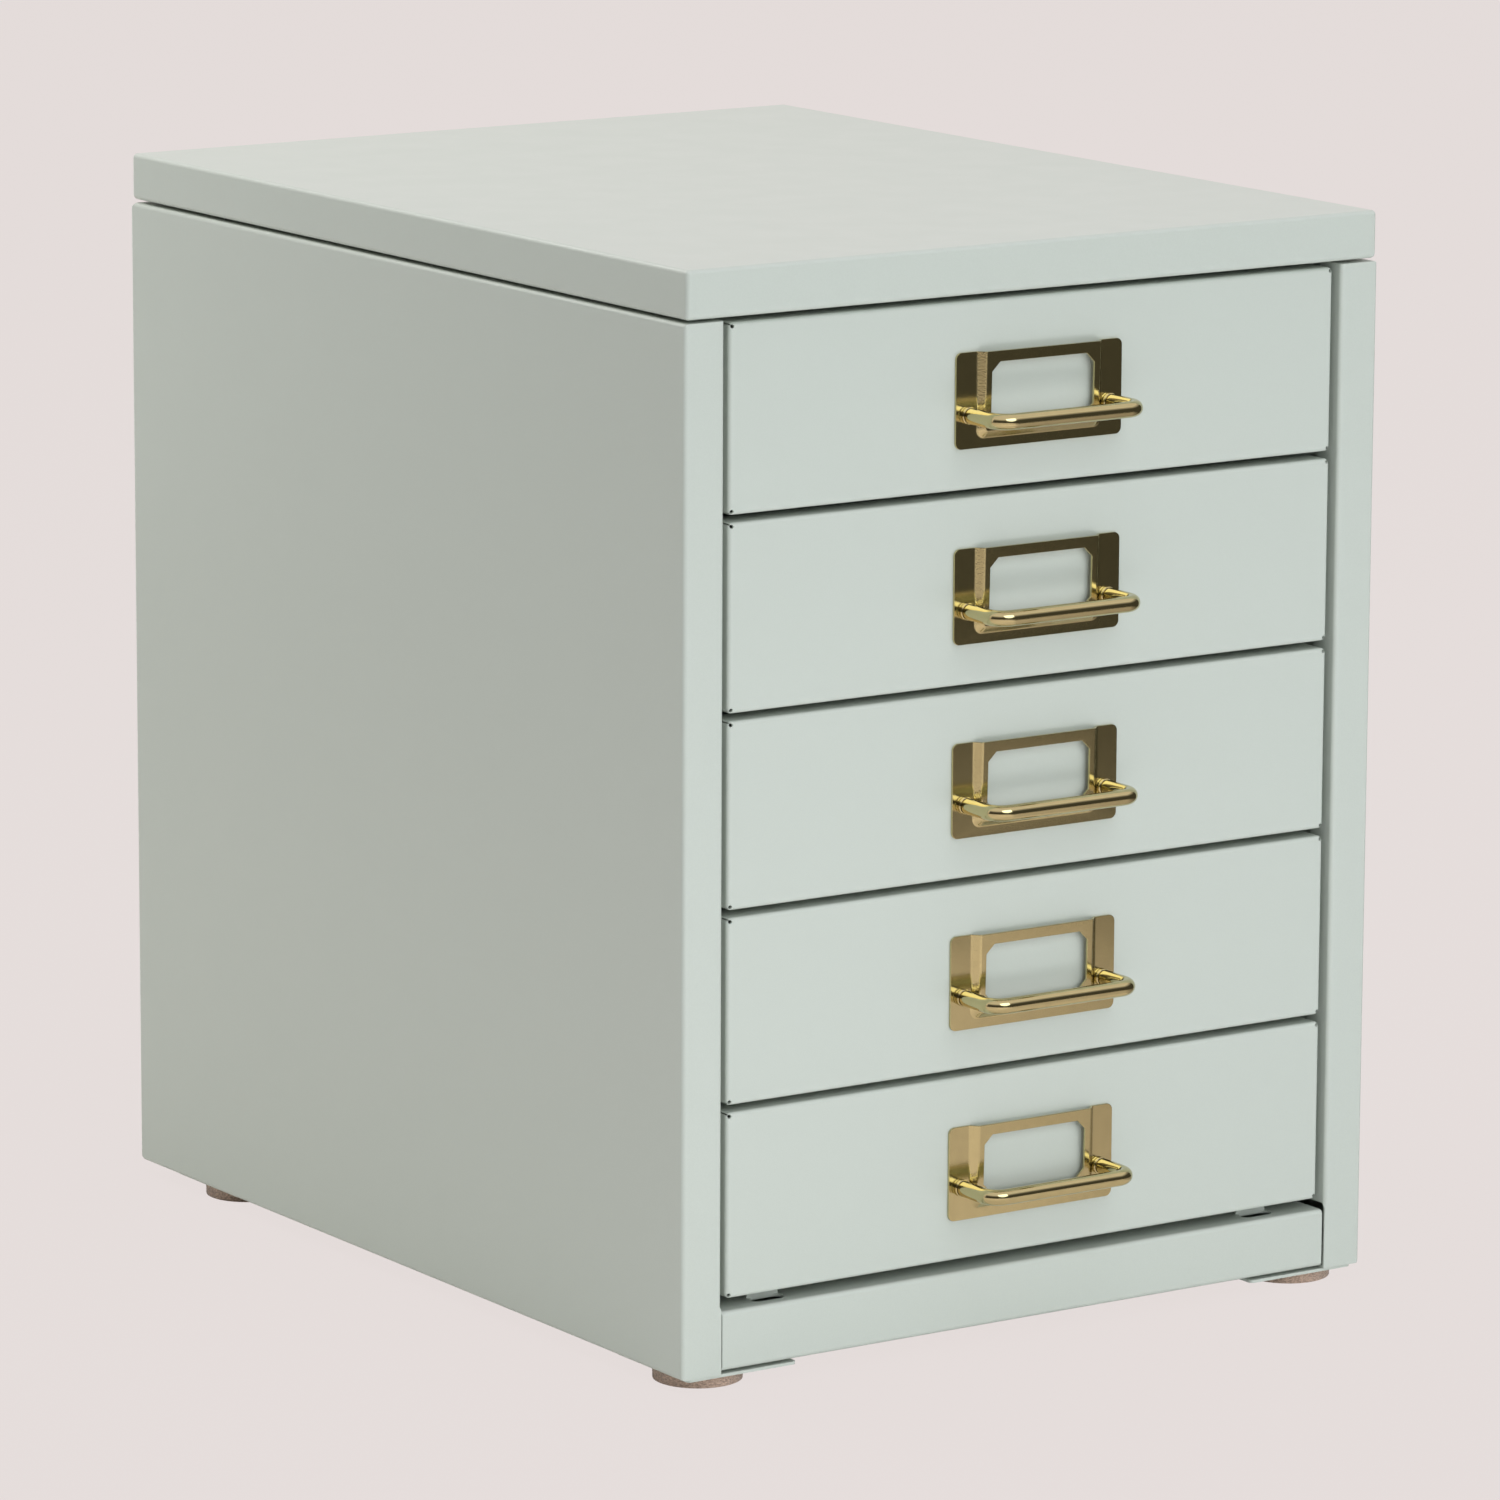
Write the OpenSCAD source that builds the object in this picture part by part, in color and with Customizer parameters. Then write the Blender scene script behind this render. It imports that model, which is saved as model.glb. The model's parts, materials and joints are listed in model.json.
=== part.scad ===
// Desktop drawer cabinet in folded sheet steel: a body on felt pads, a lid that stands
// just clear of it, and five shallow drawers with brass label-frame pulls.
// Millimetres, +Z up, drawers open towards -Y. The origin is the centre of the
// footprint, pulls included, at the underside of the felt pads.

/* [Cabinet body] */
// Width over the two side panels
body_w = 280; // [250:1:330]
// Depth from the face of the stiles to the back
body_d = 356; // [330:1:420]
// Thickness of the cabinet's sheet steel
sheet = 1; // [0.8:0.1:1.2]
// Outside radius of the cabinet's folds
fold_r = 1.6; // [1.4:0.1:2]
// Width of the stile on the front of each side panel
stile_w = 15.5; // [15:0.5:20]
// Depth of the return behind each stile, from the stile's face
stile_return = 12; // [8:0.5:13]
// Width of the side panels' flanges at top, bottom and back
flange_w = 15; // [13:0.5:15]
// Corner clipped off the back of each side panel, top and bottom
corner_clip = 2.5; // [1:0.5:4]
// Depth of the back panel's top and bottom flanges
back_flange = 14; // [8:1:20]
// Room between two sheets that slide together without a weld
fit_gap = 0.2; // [0.1:0.05:0.3]

/* [Plinth and top rail] */
// Height of the plinth rail
plinth_h = 20; // [14:1:30]
// Setback of the plinth behind the stile faces
plinth_recess = 0.5; // [0.2:0.1:1.5]
// Gap between each end of the plinth and its stile
plinth_end_gap = 0.6; // [0.3:0.1:1]
// Open gap between the plinth and the lowest drawer
plinth_gap = 4; // [3:0.5:8]
// Depth of the plinth's flanges
plinth_flange = 20; // [16:1:28]
// Length of each slot in the plinth's top flange
slot_l = 12.5; // [8:0.5:18]
// Width of each slot
slot_w = 5.5; // [3:0.5:7]
// Distance between the two slots
slot_pitch = 202; // [160:1:210]
// Distance from the plinth's face to the middle of the slots
slot_setback = 8; // [6:0.5:10]
// Height of the lip turned up behind each slot
slot_lip = 1.6; // [1:0.1:2.2]
// Height of the top front rail
rail_h = 8; // [5:0.5:9]
// Depth of the top front rail
rail_d = 28; // [20:1:40]

/* [Lid] */
// Height of the lid's skirt
lid_h = 16.3; // [12:0.1:25]
// Shadow gap between the body and the lid
lid_gap = 1; // [0.6:0.1:2]
// How far the lid stands inside each side panel's face
lid_inset = 0.8; // [0:0.1:1.5]
// Width of the hem turned in under the lid
lid_hem = 14; // [12:0.5:18]
// Distance from a side panel's face to the lid screws
screw_inset = 8; // [7.5:0.1:9]
// Distance from the front and the back to the lid screws
screw_setback = 60; // [50:1:90]
// Diameter of the lid screws
screw_d = 4; // [3:0.5:5]
// Diameter of the screw heads and washers
head_d = 7.5; // [7:0.1:8]
// Height of the screw heads
head_h = 2.4; // [1.5:0.1:3.5]
// Height of all the nuts
nut_h = 3.2; // [2:0.1:4]
// Clearance between a screw or stud and its plain hole, on the radius
hole_gap = 0.2; // [0.1:0.05:0.4]
// Running clearance between a thread and its nut, on the radius
thread_gap = 0.05; // [0.03:0.01:0.08]

/* [Feet] */
// Length and width of the corner foot plates
foot_plate_size = 43; // [36:1:55]
// Thickness of the foot plates
foot_plate_t = 1; // [0.8:0.1:2]
// Distance from a side panel's face to the foot plates
foot_plate_inset = 3; // [1:0.5:5]
// Distance from the front to the front foot plates
front_plate_setback = 1; // [0.5:0.5:4]
// Distance from the back to the rear foot plates
rear_plate_setback = 22; // [4:1:30]
// Diameter of the felt pads
felt_d = 30; // [20:1:34]
// Thickness of the felt pads
felt_t = 4; // [2:0.5:8]
// Distance from a side panel's face to the middle of the pads
felt_inset = 18; // [18:0.5:26]
// Distance from a front foot plate's outer edge to the middle of its pad
front_felt_setback = 17; // [17:0.5:26]
// Distance from a rear foot plate's outer edge to the middle of its pad
rear_felt_setback = 24; // [17:0.5:26]

/* [Drawer fronts and trays] */
// Height of a drawer front
face_h = 62.5; // [55:0.5:90]
// Gap between two drawer fronts
face_gap = 2.5; // [2:0.1:4]
// Gap above the top drawer's front, below the lid's shadow gap
top_gap = 1; // [0.5:0.1:3]
// Gap between a drawer front and a stile
side_gap = 2.6; // [1.5:0.1:3]
// Setback of the drawer fronts behind the stile faces
face_recess = 1.4; // [0:0.1:3]
// Depth of the folded drawer front
face_depth = 12; // [10:0.5:14]
// Thickness of the drawers' sheet steel
drawer_sheet = 0.8; // [0.6:0.1:1]
// Outside radius of the drawers' folds
drawer_fold_r = 1.4; // [1.2:0.1:1.8]
// Corner radius of a drawer front
face_corner_r = 1.8; // [1.5:0.1:3]
// Radius of the relief hole where the folds meet at each corner of a drawer front
relief_r = 0.65; // [0.5:0.05:0.9]
// Distance from a front's edges to the middle of its relief holes
relief_inset = 1.2; // [1:0.1:1.6]
// Width of the slit between two returns, from the relief hole back
relief_slit = 0.5; // [0.3:0.1:0.8]
// Height of a tray's floor above the lower edge of its front
tray_lift = 3; // [2:0.5:6]
// How far a tray's rim lies below the top edge of its front
tray_drop = 12.5; // [11:0.5:16]
// Lap of the front's lips on the tray
lip_lap = 5; // [3:0.5:8]
// Room between a closed tray and the back panel
tray_rear_gap = 14; // [10:1:40]
// Travel of a drawer, from closed to its stops
travel = 268; // [150:1:270]
// Diameter of the holes in a tray's inner front that reach the pull's nuts
access_d = 12; // [10:0.5:16]

/* [Runners] */
// Height inside a runner channel
runner_h = 8; // [6.5:0.5:8]
// Depth of a runner channel, lip to web
runner_reach = 5.3; // [4:0.1:6]
// Distance from a folded drawer front to the front end of its runners
runner_setback = 3; // [1:0.5:8]
// Room between the runners and the back panel
runner_rear_gap = 8; // [4:1:9]
// Clearance under a tray's slide flange
slide_gap = 0.3; // [0.2:0.05:0.5]
// Clearance between a slide flange and the web of its runner
flange_side_gap = 0.6; // [0.3:0.1:1]
// Clearance between a tray and the lips of its runners
tray_side_gap = 0.5; // [0.3:0.1:1]
// Height of the stop lugs on a slide flange
lug_h = 4.5; // [3:0.5:5]
// Length of the stop lugs and of the stops in the runners
lug_l = 12; // [6:1:16]
// How far each stop stands in from the web of its runner
stop_reach = 2.6; // [2:0.1:3.2]
// Gap left between lug and stop at full travel
stop_gap = 0.3; // [0.2:0.1:1]

/* [Label plate and pull bar] */
// Width of the label plate
plate_w = 67; // [64:0.5:80]
// Height of the label plate
plate_h = 32; // [30:0.5:36]
// Thickness of the label plate
plate_t = 0.9; // [0.7:0.1:1.2]
// Corner radius of the label plate
plate_r = 2.2; // [1:0.1:4]
// How far the plate's middle lies below the middle of the drawer front
plate_drop = 1.5; // [0:0.5:4]
// Height of the raised pocket that the card slides behind
pocket_rise = 1.8; // [1:0.1:2.4]
// Width of the sloped step round the pocket
pocket_slope = 2.2; // [1.5:0.1:3]
// Distance from the plate's side edges to the foot of the step
pocket_side = 8.3; // [8.2:0.1:10]
// Distance from the plate's lower edge to the foot of the step
pocket_foot = 3.2; // [2:0.1:5]
// Distance from the foot of the step to the window, at each side
window_side = 4.5; // [4:0.1:8]
// Distance from the foot of the lower step to the window
window_sill = 5.2; // [4:0.1:7]
// Width of the band above the window
window_head = 3.6; // [2.5:0.1:5]
// Clipped corners of the window
window_clip = 3.2; // [1:0.1:4]
// Distance from the plate's side edges to the middle of the posts
post_inset = 5; // [4:0.1:5]
// Height of the posts above the plate's lower edge
post_rise = 11.1; // [8:0.1:15]
// Diameter of the pull bar
bar_d = 5.4; // [4.6:0.1:5.6]
// Distance from the plate to the middle of the bar
bar_reach = 18; // [12:0.5:20]
// Radius of the bar's bends, to its middle
bar_bend_r = 5.5; // [4:0.5:7]
// Diameter of the collars at the foot of the bar
collar_d = 5.8; // [5.2:0.1:6.4]
// Length of the collars
collar_l = 1.2; // [1:0.1:2.5]
// Diameter of the groove beyond each collar
groove_d = 4.2; // [3.4:0.1:4.4]
// Length of the groove
groove_l = 0.6; // [0.4:0.1:1.5]
// Diameter of the bar's threaded ends
stud_d = 4; // [3:0.5:4]
// Thread showing beyond each nut
stud_spare = 1; // [0.5:0.1:2]

/* [Hidden] */
$fn = 64;
drawers = 5;
sides = ["left", "right"];
corners = ["front_left", "front_right", "rear_left", "rear_right"];
coat = "#c3ccc5";
brass = "#c9a659";
zinc = "#b4b8bb";
nylon = "#3a3c3b";
felt = "#a5876f";
cut = 1; // how far a cutting shape runs past the surface that it cuts

// Heights, from the floor up
body_z = felt_t + foot_plate_t;
plinth_z = body_z + sheet;
first_face_z = plinth_z + plinth_h + plinth_gap;
body_top = first_face_z + drawers * face_h + (drawers - 1) * face_gap + top_gap;
lid_z = body_top + lid_gap;
pan_top = plinth_z + sheet; // level on which the base's inner pieces stand
tray_h = face_h - tray_lift - tray_drop;

// Depths, from the pull bars back
pull_proud = plate_t + bar_reach + bar_d / 2 - face_recess;
front_y = (pull_proud - body_d) / 2;
rear_y = front_y + body_d;
back_y = rear_y - 2 * sheet; // front of the back panel
face_y = front_y + face_recess;
tray_y = face_y + face_depth;
tray_l = back_y - tray_rear_gap - tray_y;
clear_y = max(front_y + stile_return, tray_y); // nothing of the front reaches behind this
runner_y = clear_y + runner_setback;
runner_l = back_y - runner_rear_gap - runner_y;
stop_y = tray_y + tray_l - lug_l - travel - stop_gap - lug_l; // front of the stops

// Half widths, from the middle out
inner_x = body_w / 2 - sheet; // inside of a side panel
inner_r = fold_r - sheet; // inside radius of the cabinet's folds
span_x = inner_x - inner_r - fit_gap; // ends of the pieces that lie between the side panels
opening_x = body_w / 2 - stile_w; // face of the stile returns, and of the runners' webs
face_w = 2 * (opening_x - side_gap);
tray_x = opening_x - runner_reach - tray_side_gap;
slide_x = opening_x - flange_side_gap;
post_x = plate_w / 2 - post_inset;

// Heights on a drawer, from the lower edge of its front
plate_z = (face_h - plate_h) / 2 - plate_drop;
post_z = plate_z + post_rise;
rim_z = tray_lift + tray_h;
runner_z = rim_z - drawer_sheet - slide_gap - sheet;

// ---- Shapes that repeat ----

// A rectangle from the origin with its corners rounded
module round_rect(size, r) {
  translate([r, 0]) square([size.x - 2 * r, size.y]);
  translate([0, r]) square([size.x, size.y - 2 * r]);
  for (x = [r, size.x - r], y = [r, size.y - r])
    translate([x, y]) circle(r);
}

// A rectangle from the origin with its corners clipped
module clipped_rect(size, c) {
  polygon([[c, 0], [size.x - c, 0], [size.x, c], [size.x, size.y - c],
           [size.x - c, size.y], [c, size.y], [0, size.y - c], [0, c]]);
}

// A slot centred on the origin, its length between the ends of its round stretches
module slot_outline(l, w) {
  square([l - w, w], center = true);
  for (side = [-1, 1]) translate([side * (l - w) / 2, 0]) circle(d = w);
}

// The section of a folded channel: a rounded rectangle's wall, open on its +X side
// between the two levels given
module channel_section(size, r, t, open_from, open_to) {
  difference() {
    round_rect(size, r);
    translate([t, t]) round_rect(size - [2 * t, 2 * t], max(r - t, 0.1));
    translate([size.x - t - r, open_from]) square([t + r + cut, open_to - open_from]);
  }
}

// Extrudes a plan section upwards from z to z + h
module along_z(z, h) {
  translate([0, 0, z]) linear_extrude(h) children();
}

// Extrudes a section drawn in X and Z backwards from y to y + l
module along_y(y, l) {
  translate([0, y + l, 0]) rotate([90, 0, 0]) linear_extrude(l) children();
}

// Extrudes a section drawn in Y and Z from x to x + w
module along_x(x, w) {
  translate([x, 0, 0]) rotate([90, 0, 90]) linear_extrude(w) children();
}

// A box with rounded edges on every side, made from its three outlines
module soft_box(low, size, r) {
  intersection() {
    along_z(low.z, size.z) translate([low.x, low.y]) round_rect([size.x, size.y], r);
    along_y(low.y, size.y) translate([low.x, low.z]) round_rect([size.x, size.z], r);
    along_x(low.x, size.x) translate([low.y, low.z]) round_rect([size.y, size.z], r);
  }
}

module box(low, high) {
  translate(low) cube(high - low);
}

module on_side(side) {
  mirror([side == "right" ? 1 : 0, 0, 0]) children();
}

module at_lid_screws() {
  for (x = [-1, 1] * (body_w / 2 - screw_inset), y = [front_y + screw_setback, rear_y - screw_setback])
    translate([x, y, 0]) children();
}

module nut(bore_d) {
  difference() {
    cylinder(h = nut_h, d = head_d, $fn = 6);
    translate([0, 0, -cut]) cylinder(h = nut_h + 2 * cut, d = bore_d);
  }
}

// ---- Cabinet ----

// One blank: skin, stile and its return, and flanges at the back, top and bottom
module side_panel() {
  return_z = plinth_z + plinth_h + 2 * sheet;
  color(coat) difference() {
    intersection() {
      union() {
        along_z(body_z, body_top - body_z)
          translate([-body_w / 2, front_y])
            channel_section([stile_w, body_d], fold_r, sheet, stile_return, body_d - sheet);
        for (z = [body_z, body_top - sheet])
          box([-body_w / 2, front_y + sheet, z], [flange_w - body_w / 2, rear_y, z + sheet]);
      }
      along_y(front_y, body_d)
        translate([-body_w / 2, body_z]) round_rect([body_w, body_top - body_z], fold_r);
      along_x(-body_w / 2, body_w) translate([front_y, body_z])
        polygon([[0, 0], [body_d - corner_clip, 0], [body_d, corner_clip],
                 [body_d, body_top - body_z - corner_clip],
                 [body_d - corner_clip, body_top - body_z], [0, body_top - body_z]]);
    }
    // the return stops above the plinth, whose ends pass behind the stile
    box([-opening_x - sheet - fold_r, front_y + sheet, body_z - cut],
        [-opening_x + cut, front_y + stile_return + cut, return_z]);
    // the top flange starts behind the return
    box([-inner_x, front_y + sheet, body_top - sheet],
        [-opening_x - sheet, front_y + stile_return + sheet, body_top + cut]);
    at_lid_screws() translate([0, 0, body_top - sheet - cut])
      cylinder(h = sheet + 2 * cut, d = screw_d + 2 * hole_gap);
  }
}

module back_panel() {
  color(coat) along_x(-span_x, 2 * span_x) translate([back_y + sheet, 0]) mirror([1, 0])
    translate([0, plinth_z])
      channel_section([back_flange + sheet, body_top - sheet - plinth_z], fold_r, sheet,
                      sheet, body_top - 2 * sheet - plinth_z);
}

module bottom_pan() {
  color(coat) box([-span_x, front_y + plinth_recess + plinth_flange + fit_gap, plinth_z],
                  [span_x, back_y - back_flange - fit_gap, pan_top]);
}

// A channel between the stiles; its lower flange widens behind them to the side panels
module front_plinth() {
  y = front_y + plinth_recess;
  w = opening_x - plinth_end_gap;
  top = plinth_z + plinth_h;
  color(coat) difference() {
    union() {
      along_x(-w, 2 * w) translate([y, plinth_z])
        channel_section([plinth_flange, plinth_h], fold_r, sheet, sheet, plinth_h - sheet);
      box([-span_x, front_y + fold_r + plinth_recess, plinth_z],
          [span_x, y + plinth_flange - fold_r, pan_top]);
      for (x = [-1, 1] * slot_pitch / 2)
        along_y(y + slot_setback + slot_w / 2, sheet)
          translate([x - slot_l / 2, top - sheet]) round_rect([slot_l, sheet + slot_lip], sheet / 2);
    }
    for (x = [-1, 1] * slot_pitch / 2)
      along_z(top - sheet - cut, sheet + 2 * cut)
        translate([x, y + slot_setback]) slot_outline(slot_l, slot_w);
  }
}

// An inverted channel that ties the side panels under their top flanges
module top_front_rail() {
  y = clear_y + runner_setback;
  top = body_top - sheet;
  color(coat) union() {
    box([-span_x, y, top - sheet], [span_x, y + rail_d, top]);
    for (flange_y = [y, y + rail_d - sheet])
      box([-tray_x, flange_y, top - rail_h], [tray_x, flange_y + sheet, top]);
  }
}

// Stands against the stile's return and the back panel, and carries the runners
module liner() {
  x = -opening_x - sheet;
  low = pan_top + inner_r;
  high = body_top - 2 * sheet - inner_r;
  color(coat) difference() {
    union() {
      box([x - sheet, front_y + fold_r + fit_gap, low], [x, back_y, high]);
      box([-span_x, back_y - sheet, low], [x, back_y, high]);
    }
    box([x - 2 * sheet, front_y, plinth_z],
        [x + sheet, front_y + plinth_recess + plinth_flange + fit_gap, plinth_z + plinth_h + 2 * sheet]);
  }
}

// A channel for one slide flange, with a stop pressed in for the flange's lug
module runner(n) {
  z = face_z(n) + runner_z;
  h = runner_h + 2 * sheet;
  lug_floor = face_z(n) + rim_z + slide_gap;
  color(zinc) union() {
    along_y(runner_y, runner_l) translate([-opening_x - sheet, z])
      channel_section([runner_reach + sheet, h], fold_r, sheet, sheet, h - sheet);
    box([-opening_x - sheet / 2, stop_y, lug_floor],
        [-opening_x + stop_reach, stop_y + lug_l, z + h - sheet / 2]);
  }
}

module lid() {
  w = body_w - 2 * lid_inset;
  x = w / 2 - sheet;
  color(coat) difference() {
    soft_box([-w / 2, front_y, lid_z], [w, body_d, lid_h], fold_r);
    box([-x, front_y + sheet, lid_z + sheet], [x, rear_y - sheet, lid_z + lid_h - sheet]);
    box([-x + lid_hem, front_y + sheet + lid_hem, lid_z - cut],
        [x - lid_hem, rear_y - sheet - lid_hem, lid_z + 2 * sheet]);
    at_lid_screws() translate([0, 0, lid_z - cut])
      cylinder(h = sheet + 2 * cut, d = screw_d + 2 * hole_gap);
  }
}

module lid_washers() {
  color(nylon) at_lid_screws() difference() {
    translate([0, 0, body_top]) cylinder(h = lid_gap, d = head_d);
    translate([0, 0, body_top - cut])
      cylinder(h = lid_gap + 2 * cut, d = screw_d + 2 * hole_gap);
  }
}

module lid_screws() {
  head_z = body_top - sheet - head_h;
  color(zinc) at_lid_screws() union() {
    translate([0, 0, head_z]) cylinder(h = head_h, d = head_d);
    translate([0, 0, head_z + head_h / 2])
      cylinder(h = lid_z + sheet + nut_h + stud_spare - head_z - head_h / 2, d = screw_d);
  }
}

module lid_nuts() {
  color(zinc) at_lid_screws() translate([0, 0, lid_z + sheet]) nut(screw_d + 2 * thread_gap);
}

// ---- Feet ----

function is_rear(corner) = corner == "rear_left" || corner == "rear_right";
function is_right(corner) = corner == "front_right" || corner == "rear_right";

// Places children, drawn from a side panel's face and a foot plate's outer edge, at a corner
module at_corner(corner) {
  y = is_rear(corner) ? rear_y - rear_plate_setback : front_y + front_plate_setback;
  mirror([is_right(corner) ? 1 : 0, 0, 0]) translate([-body_w / 2, y, 0])
    mirror([0, is_rear(corner) ? 1 : 0, 0]) children();
}

module foot_plate(corner) {
  color(coat) at_corner(corner)
    along_z(felt_t, foot_plate_t) translate([foot_plate_inset, 0])
      round_rect([foot_plate_size, foot_plate_size], fold_r);
}

module felt_pad(corner) {
  setback = is_rear(corner) ? rear_felt_setback : front_felt_setback;
  color(felt) at_corner(corner) translate([felt_inset, setback, 0])
    cylinder(h = felt_t, d = felt_d);
}

// ---- Drawers ----

function face_z(n) = first_face_z + (n - 1) * (face_h + face_gap);

// A pan folded on all four edges, with lips that lap the tray behind it
module drawer_front(n) {
  t = drawer_sheet;
  x = face_w / 2;
  back = face_y + face_depth;
  z = face_z(n);
  color(coat) difference() {
    intersection() {
      soft_box([-x, face_y, z], [face_w, face_depth + drawer_fold_r, face_h], drawer_fold_r);
      along_y(face_y, face_depth) translate([-x, z]) round_rect([face_w, face_h], face_corner_r);
    }
    box([-x + t, face_y + t, z + t], [x - t, back - t, z + face_h - t]);
    // between the lips the back is open
    box([-x + t, face_y + t, z + tray_lift + lip_lap], [x - t, back + cut, z + rim_z - lip_lap]);
    for (side = [-1, 1], end = [-1, 1])
      translate([side * (x - relief_inset), 0, z + face_h / 2 + end * (face_h / 2 - relief_inset)]) {
        along_y(face_y - cut, cut + 3 * t) circle(relief_r);
        // cut out to the corner, behind the face's own sheet
        along_y(face_y + t, face_depth) rotate(90 - side * (90 - end * 45))
          translate([0, -relief_slit / 2]) square([2 * relief_inset + cut, relief_slit]);
      }
    for (side = [-1, 1])
      translate([side * post_x, face_y + t + cut, z + post_z])
        rotate([90, 0, 0]) cylinder(h = t + 2 * cut, d = stud_d + 2 * hole_gap);
  }
}

// One blank: floor and four walls, slide flanges turned out at the rim, lugs at the back
module drawer_tray(n) {
  t = drawer_sheet;
  r = drawer_fold_r;
  color(coat) translate([0, tray_y, face_z(n) + tray_lift]) difference() {
    union() {
      along_y(0, tray_l) difference() {
        tray_outline(tray_x, tray_h, r);
        translate([0, t]) tray_outline(tray_x - t, tray_h, r - t);
      }
      for (y = [0, tray_l - t])
        along_y(y, t) tray_outline(tray_x, tray_h, r);
      for (side = [0, 1]) mirror([side, 0, 0]) {
        box([tray_x - t, 0, tray_h - t], [slide_x, tray_l, tray_h]);
        box([slide_x - t, tray_l - lug_l, tray_h - t], [slide_x, tray_l, tray_h + lug_h]);
      }
    }
    for (side = [-1, 1])
      translate([side * post_x, t + cut, post_z - tray_lift])
        rotate([90, 0, 0]) cylinder(h = t + 2 * cut, d = access_d);
  }
}

// A tray's outer section, rounded at its two lower corners
module tray_outline(x, h, r) {
  translate([-x, r]) square([2 * x, h - r]);
  translate([r - x, 0]) square([2 * (x - r), h]);
  for (side = [-1, 1]) translate([side * (x - r), r]) circle(r);
}

// The pressed pocket's outer or inner skin: it rises from floor_y, with a sloped step at
// each side and below, and is open at the top
module pocket_form(shrink, floor_y, back_y, top) {
  x = plate_w / 2 - pocket_side - shrink;
  low = pocket_foot + shrink;
  crest_y = floor_y - pocket_rise;
  intersection() {
    along_z(0, top)
      polygon([[-x, back_y], [-x, floor_y], [pocket_slope - x, crest_y],
               [x - pocket_slope, crest_y], [x, floor_y], [x, back_y]]);
    along_x(-x - cut, 2 * (x + cut))
      polygon([[back_y, low], [floor_y, low], [crest_y, low + pocket_slope],
               [crest_y, top + cut], [back_y, top + cut]]);
  }
}

// A stamped frame: flat rim, raised pocket open at the top, window with clipped corners
module label_plate(n) {
  // sideways shift that keeps the sloped step at the plate's own thickness
  shrink = plate_t * (norm([pocket_slope, pocket_rise]) - pocket_slope) / pocket_rise;
  window_x = plate_w / 2 - pocket_side - window_side;
  window_z = pocket_foot + window_sill;
  window_h = plate_h - window_head - window_z;
  color(brass) translate([0, face_y, face_z(n) + plate_z]) difference() {
    union() {
      along_y(-plate_t, plate_t) translate([-plate_w / 2, 0]) round_rect([plate_w, plate_h], plate_r);
      pocket_form(0, -plate_t, 0, plate_h);
    }
    pocket_form(shrink, 0, cut, plate_h + cut);
    along_y(-pocket_rise - plate_t - cut, pocket_rise + plate_t + 2 * cut)
      translate([-window_x, window_z]) clipped_rect([2 * window_x, window_h], window_clip);
    for (side = [-1, 1])
      translate([side * post_x, cut, post_rise])
        rotate([90, 0, 0]) cylinder(h = plate_t + 2 * cut, d = stud_d + 2 * hole_gap);
  }
}

// A bent rod: at each end a collar on the plate, a groove and a thread through the front
module pull_bar(n) {
  r = bar_bend_r;
  arm_from = collar_l + groove_l;
  stud_l = plate_t + drawer_sheet + nut_h + stud_spare;
  color(brass) translate([0, face_y - plate_t, face_z(n) + post_z]) rotate([90, 0, 0]) union() {
    for (side = [0, 1]) mirror([side, 0, 0]) translate([post_x, 0, 0]) {
      cylinder(h = collar_l, d = collar_d);
      translate([0, 0, -stud_l]) cylinder(h = stud_l + collar_l / 2, d = stud_d);
      translate([0, 0, collar_l / 2]) cylinder(h = collar_l / 2 + 2 * groove_l, d = groove_d);
      translate([0, 0, arm_from]) cylinder(h = bar_reach - r - arm_from, d = bar_d);
      translate([-r, 0, bar_reach - r]) rotate([90, 0, 0])
        rotate_extrude(angle = 90) translate([r, 0]) circle(d = bar_d);
    }
    translate([r - post_x, 0, bar_reach]) rotate([0, 90, 0])
      cylinder(h = 2 * (post_x - r), d = bar_d);
  }
}

module pull_nuts(n) {
  color(zinc) for (side = [-1, 1])
    translate([side * post_x, face_y + drawer_sheet, face_z(n) + post_z])
      rotate([-90, 0, 0]) nut(stud_d + 2 * thread_gap);
}

// ---- Assembly ----

side_panel();  // left_side_panel
mirror([1, 0, 0]) side_panel();  // right_side_panel
back_panel();
bottom_pan();
front_plinth();
top_front_rail();
liner();  // left_liner
mirror([1, 0, 0]) liner();  // right_liner
lid();
lid_washers();
lid_screws();
lid_nuts();
for (c = corners) {
  foot_plate(c);
  felt_pad(c);
}
for (s = sides, n = [1 : drawers]) {
  on_side(s) runner(n);
}
for (n = [1 : drawers]) {
  drawer_front(n);
  drawer_tray(n);
  label_plate(n);
  pull_bar(n);
  pull_nuts(n);
}
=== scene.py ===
import json
import math

import bmesh
import bpy
from bpy.props import FloatProperty, FloatVectorProperty, IntProperty, PointerProperty
from mathutils import Matrix, Vector

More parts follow.
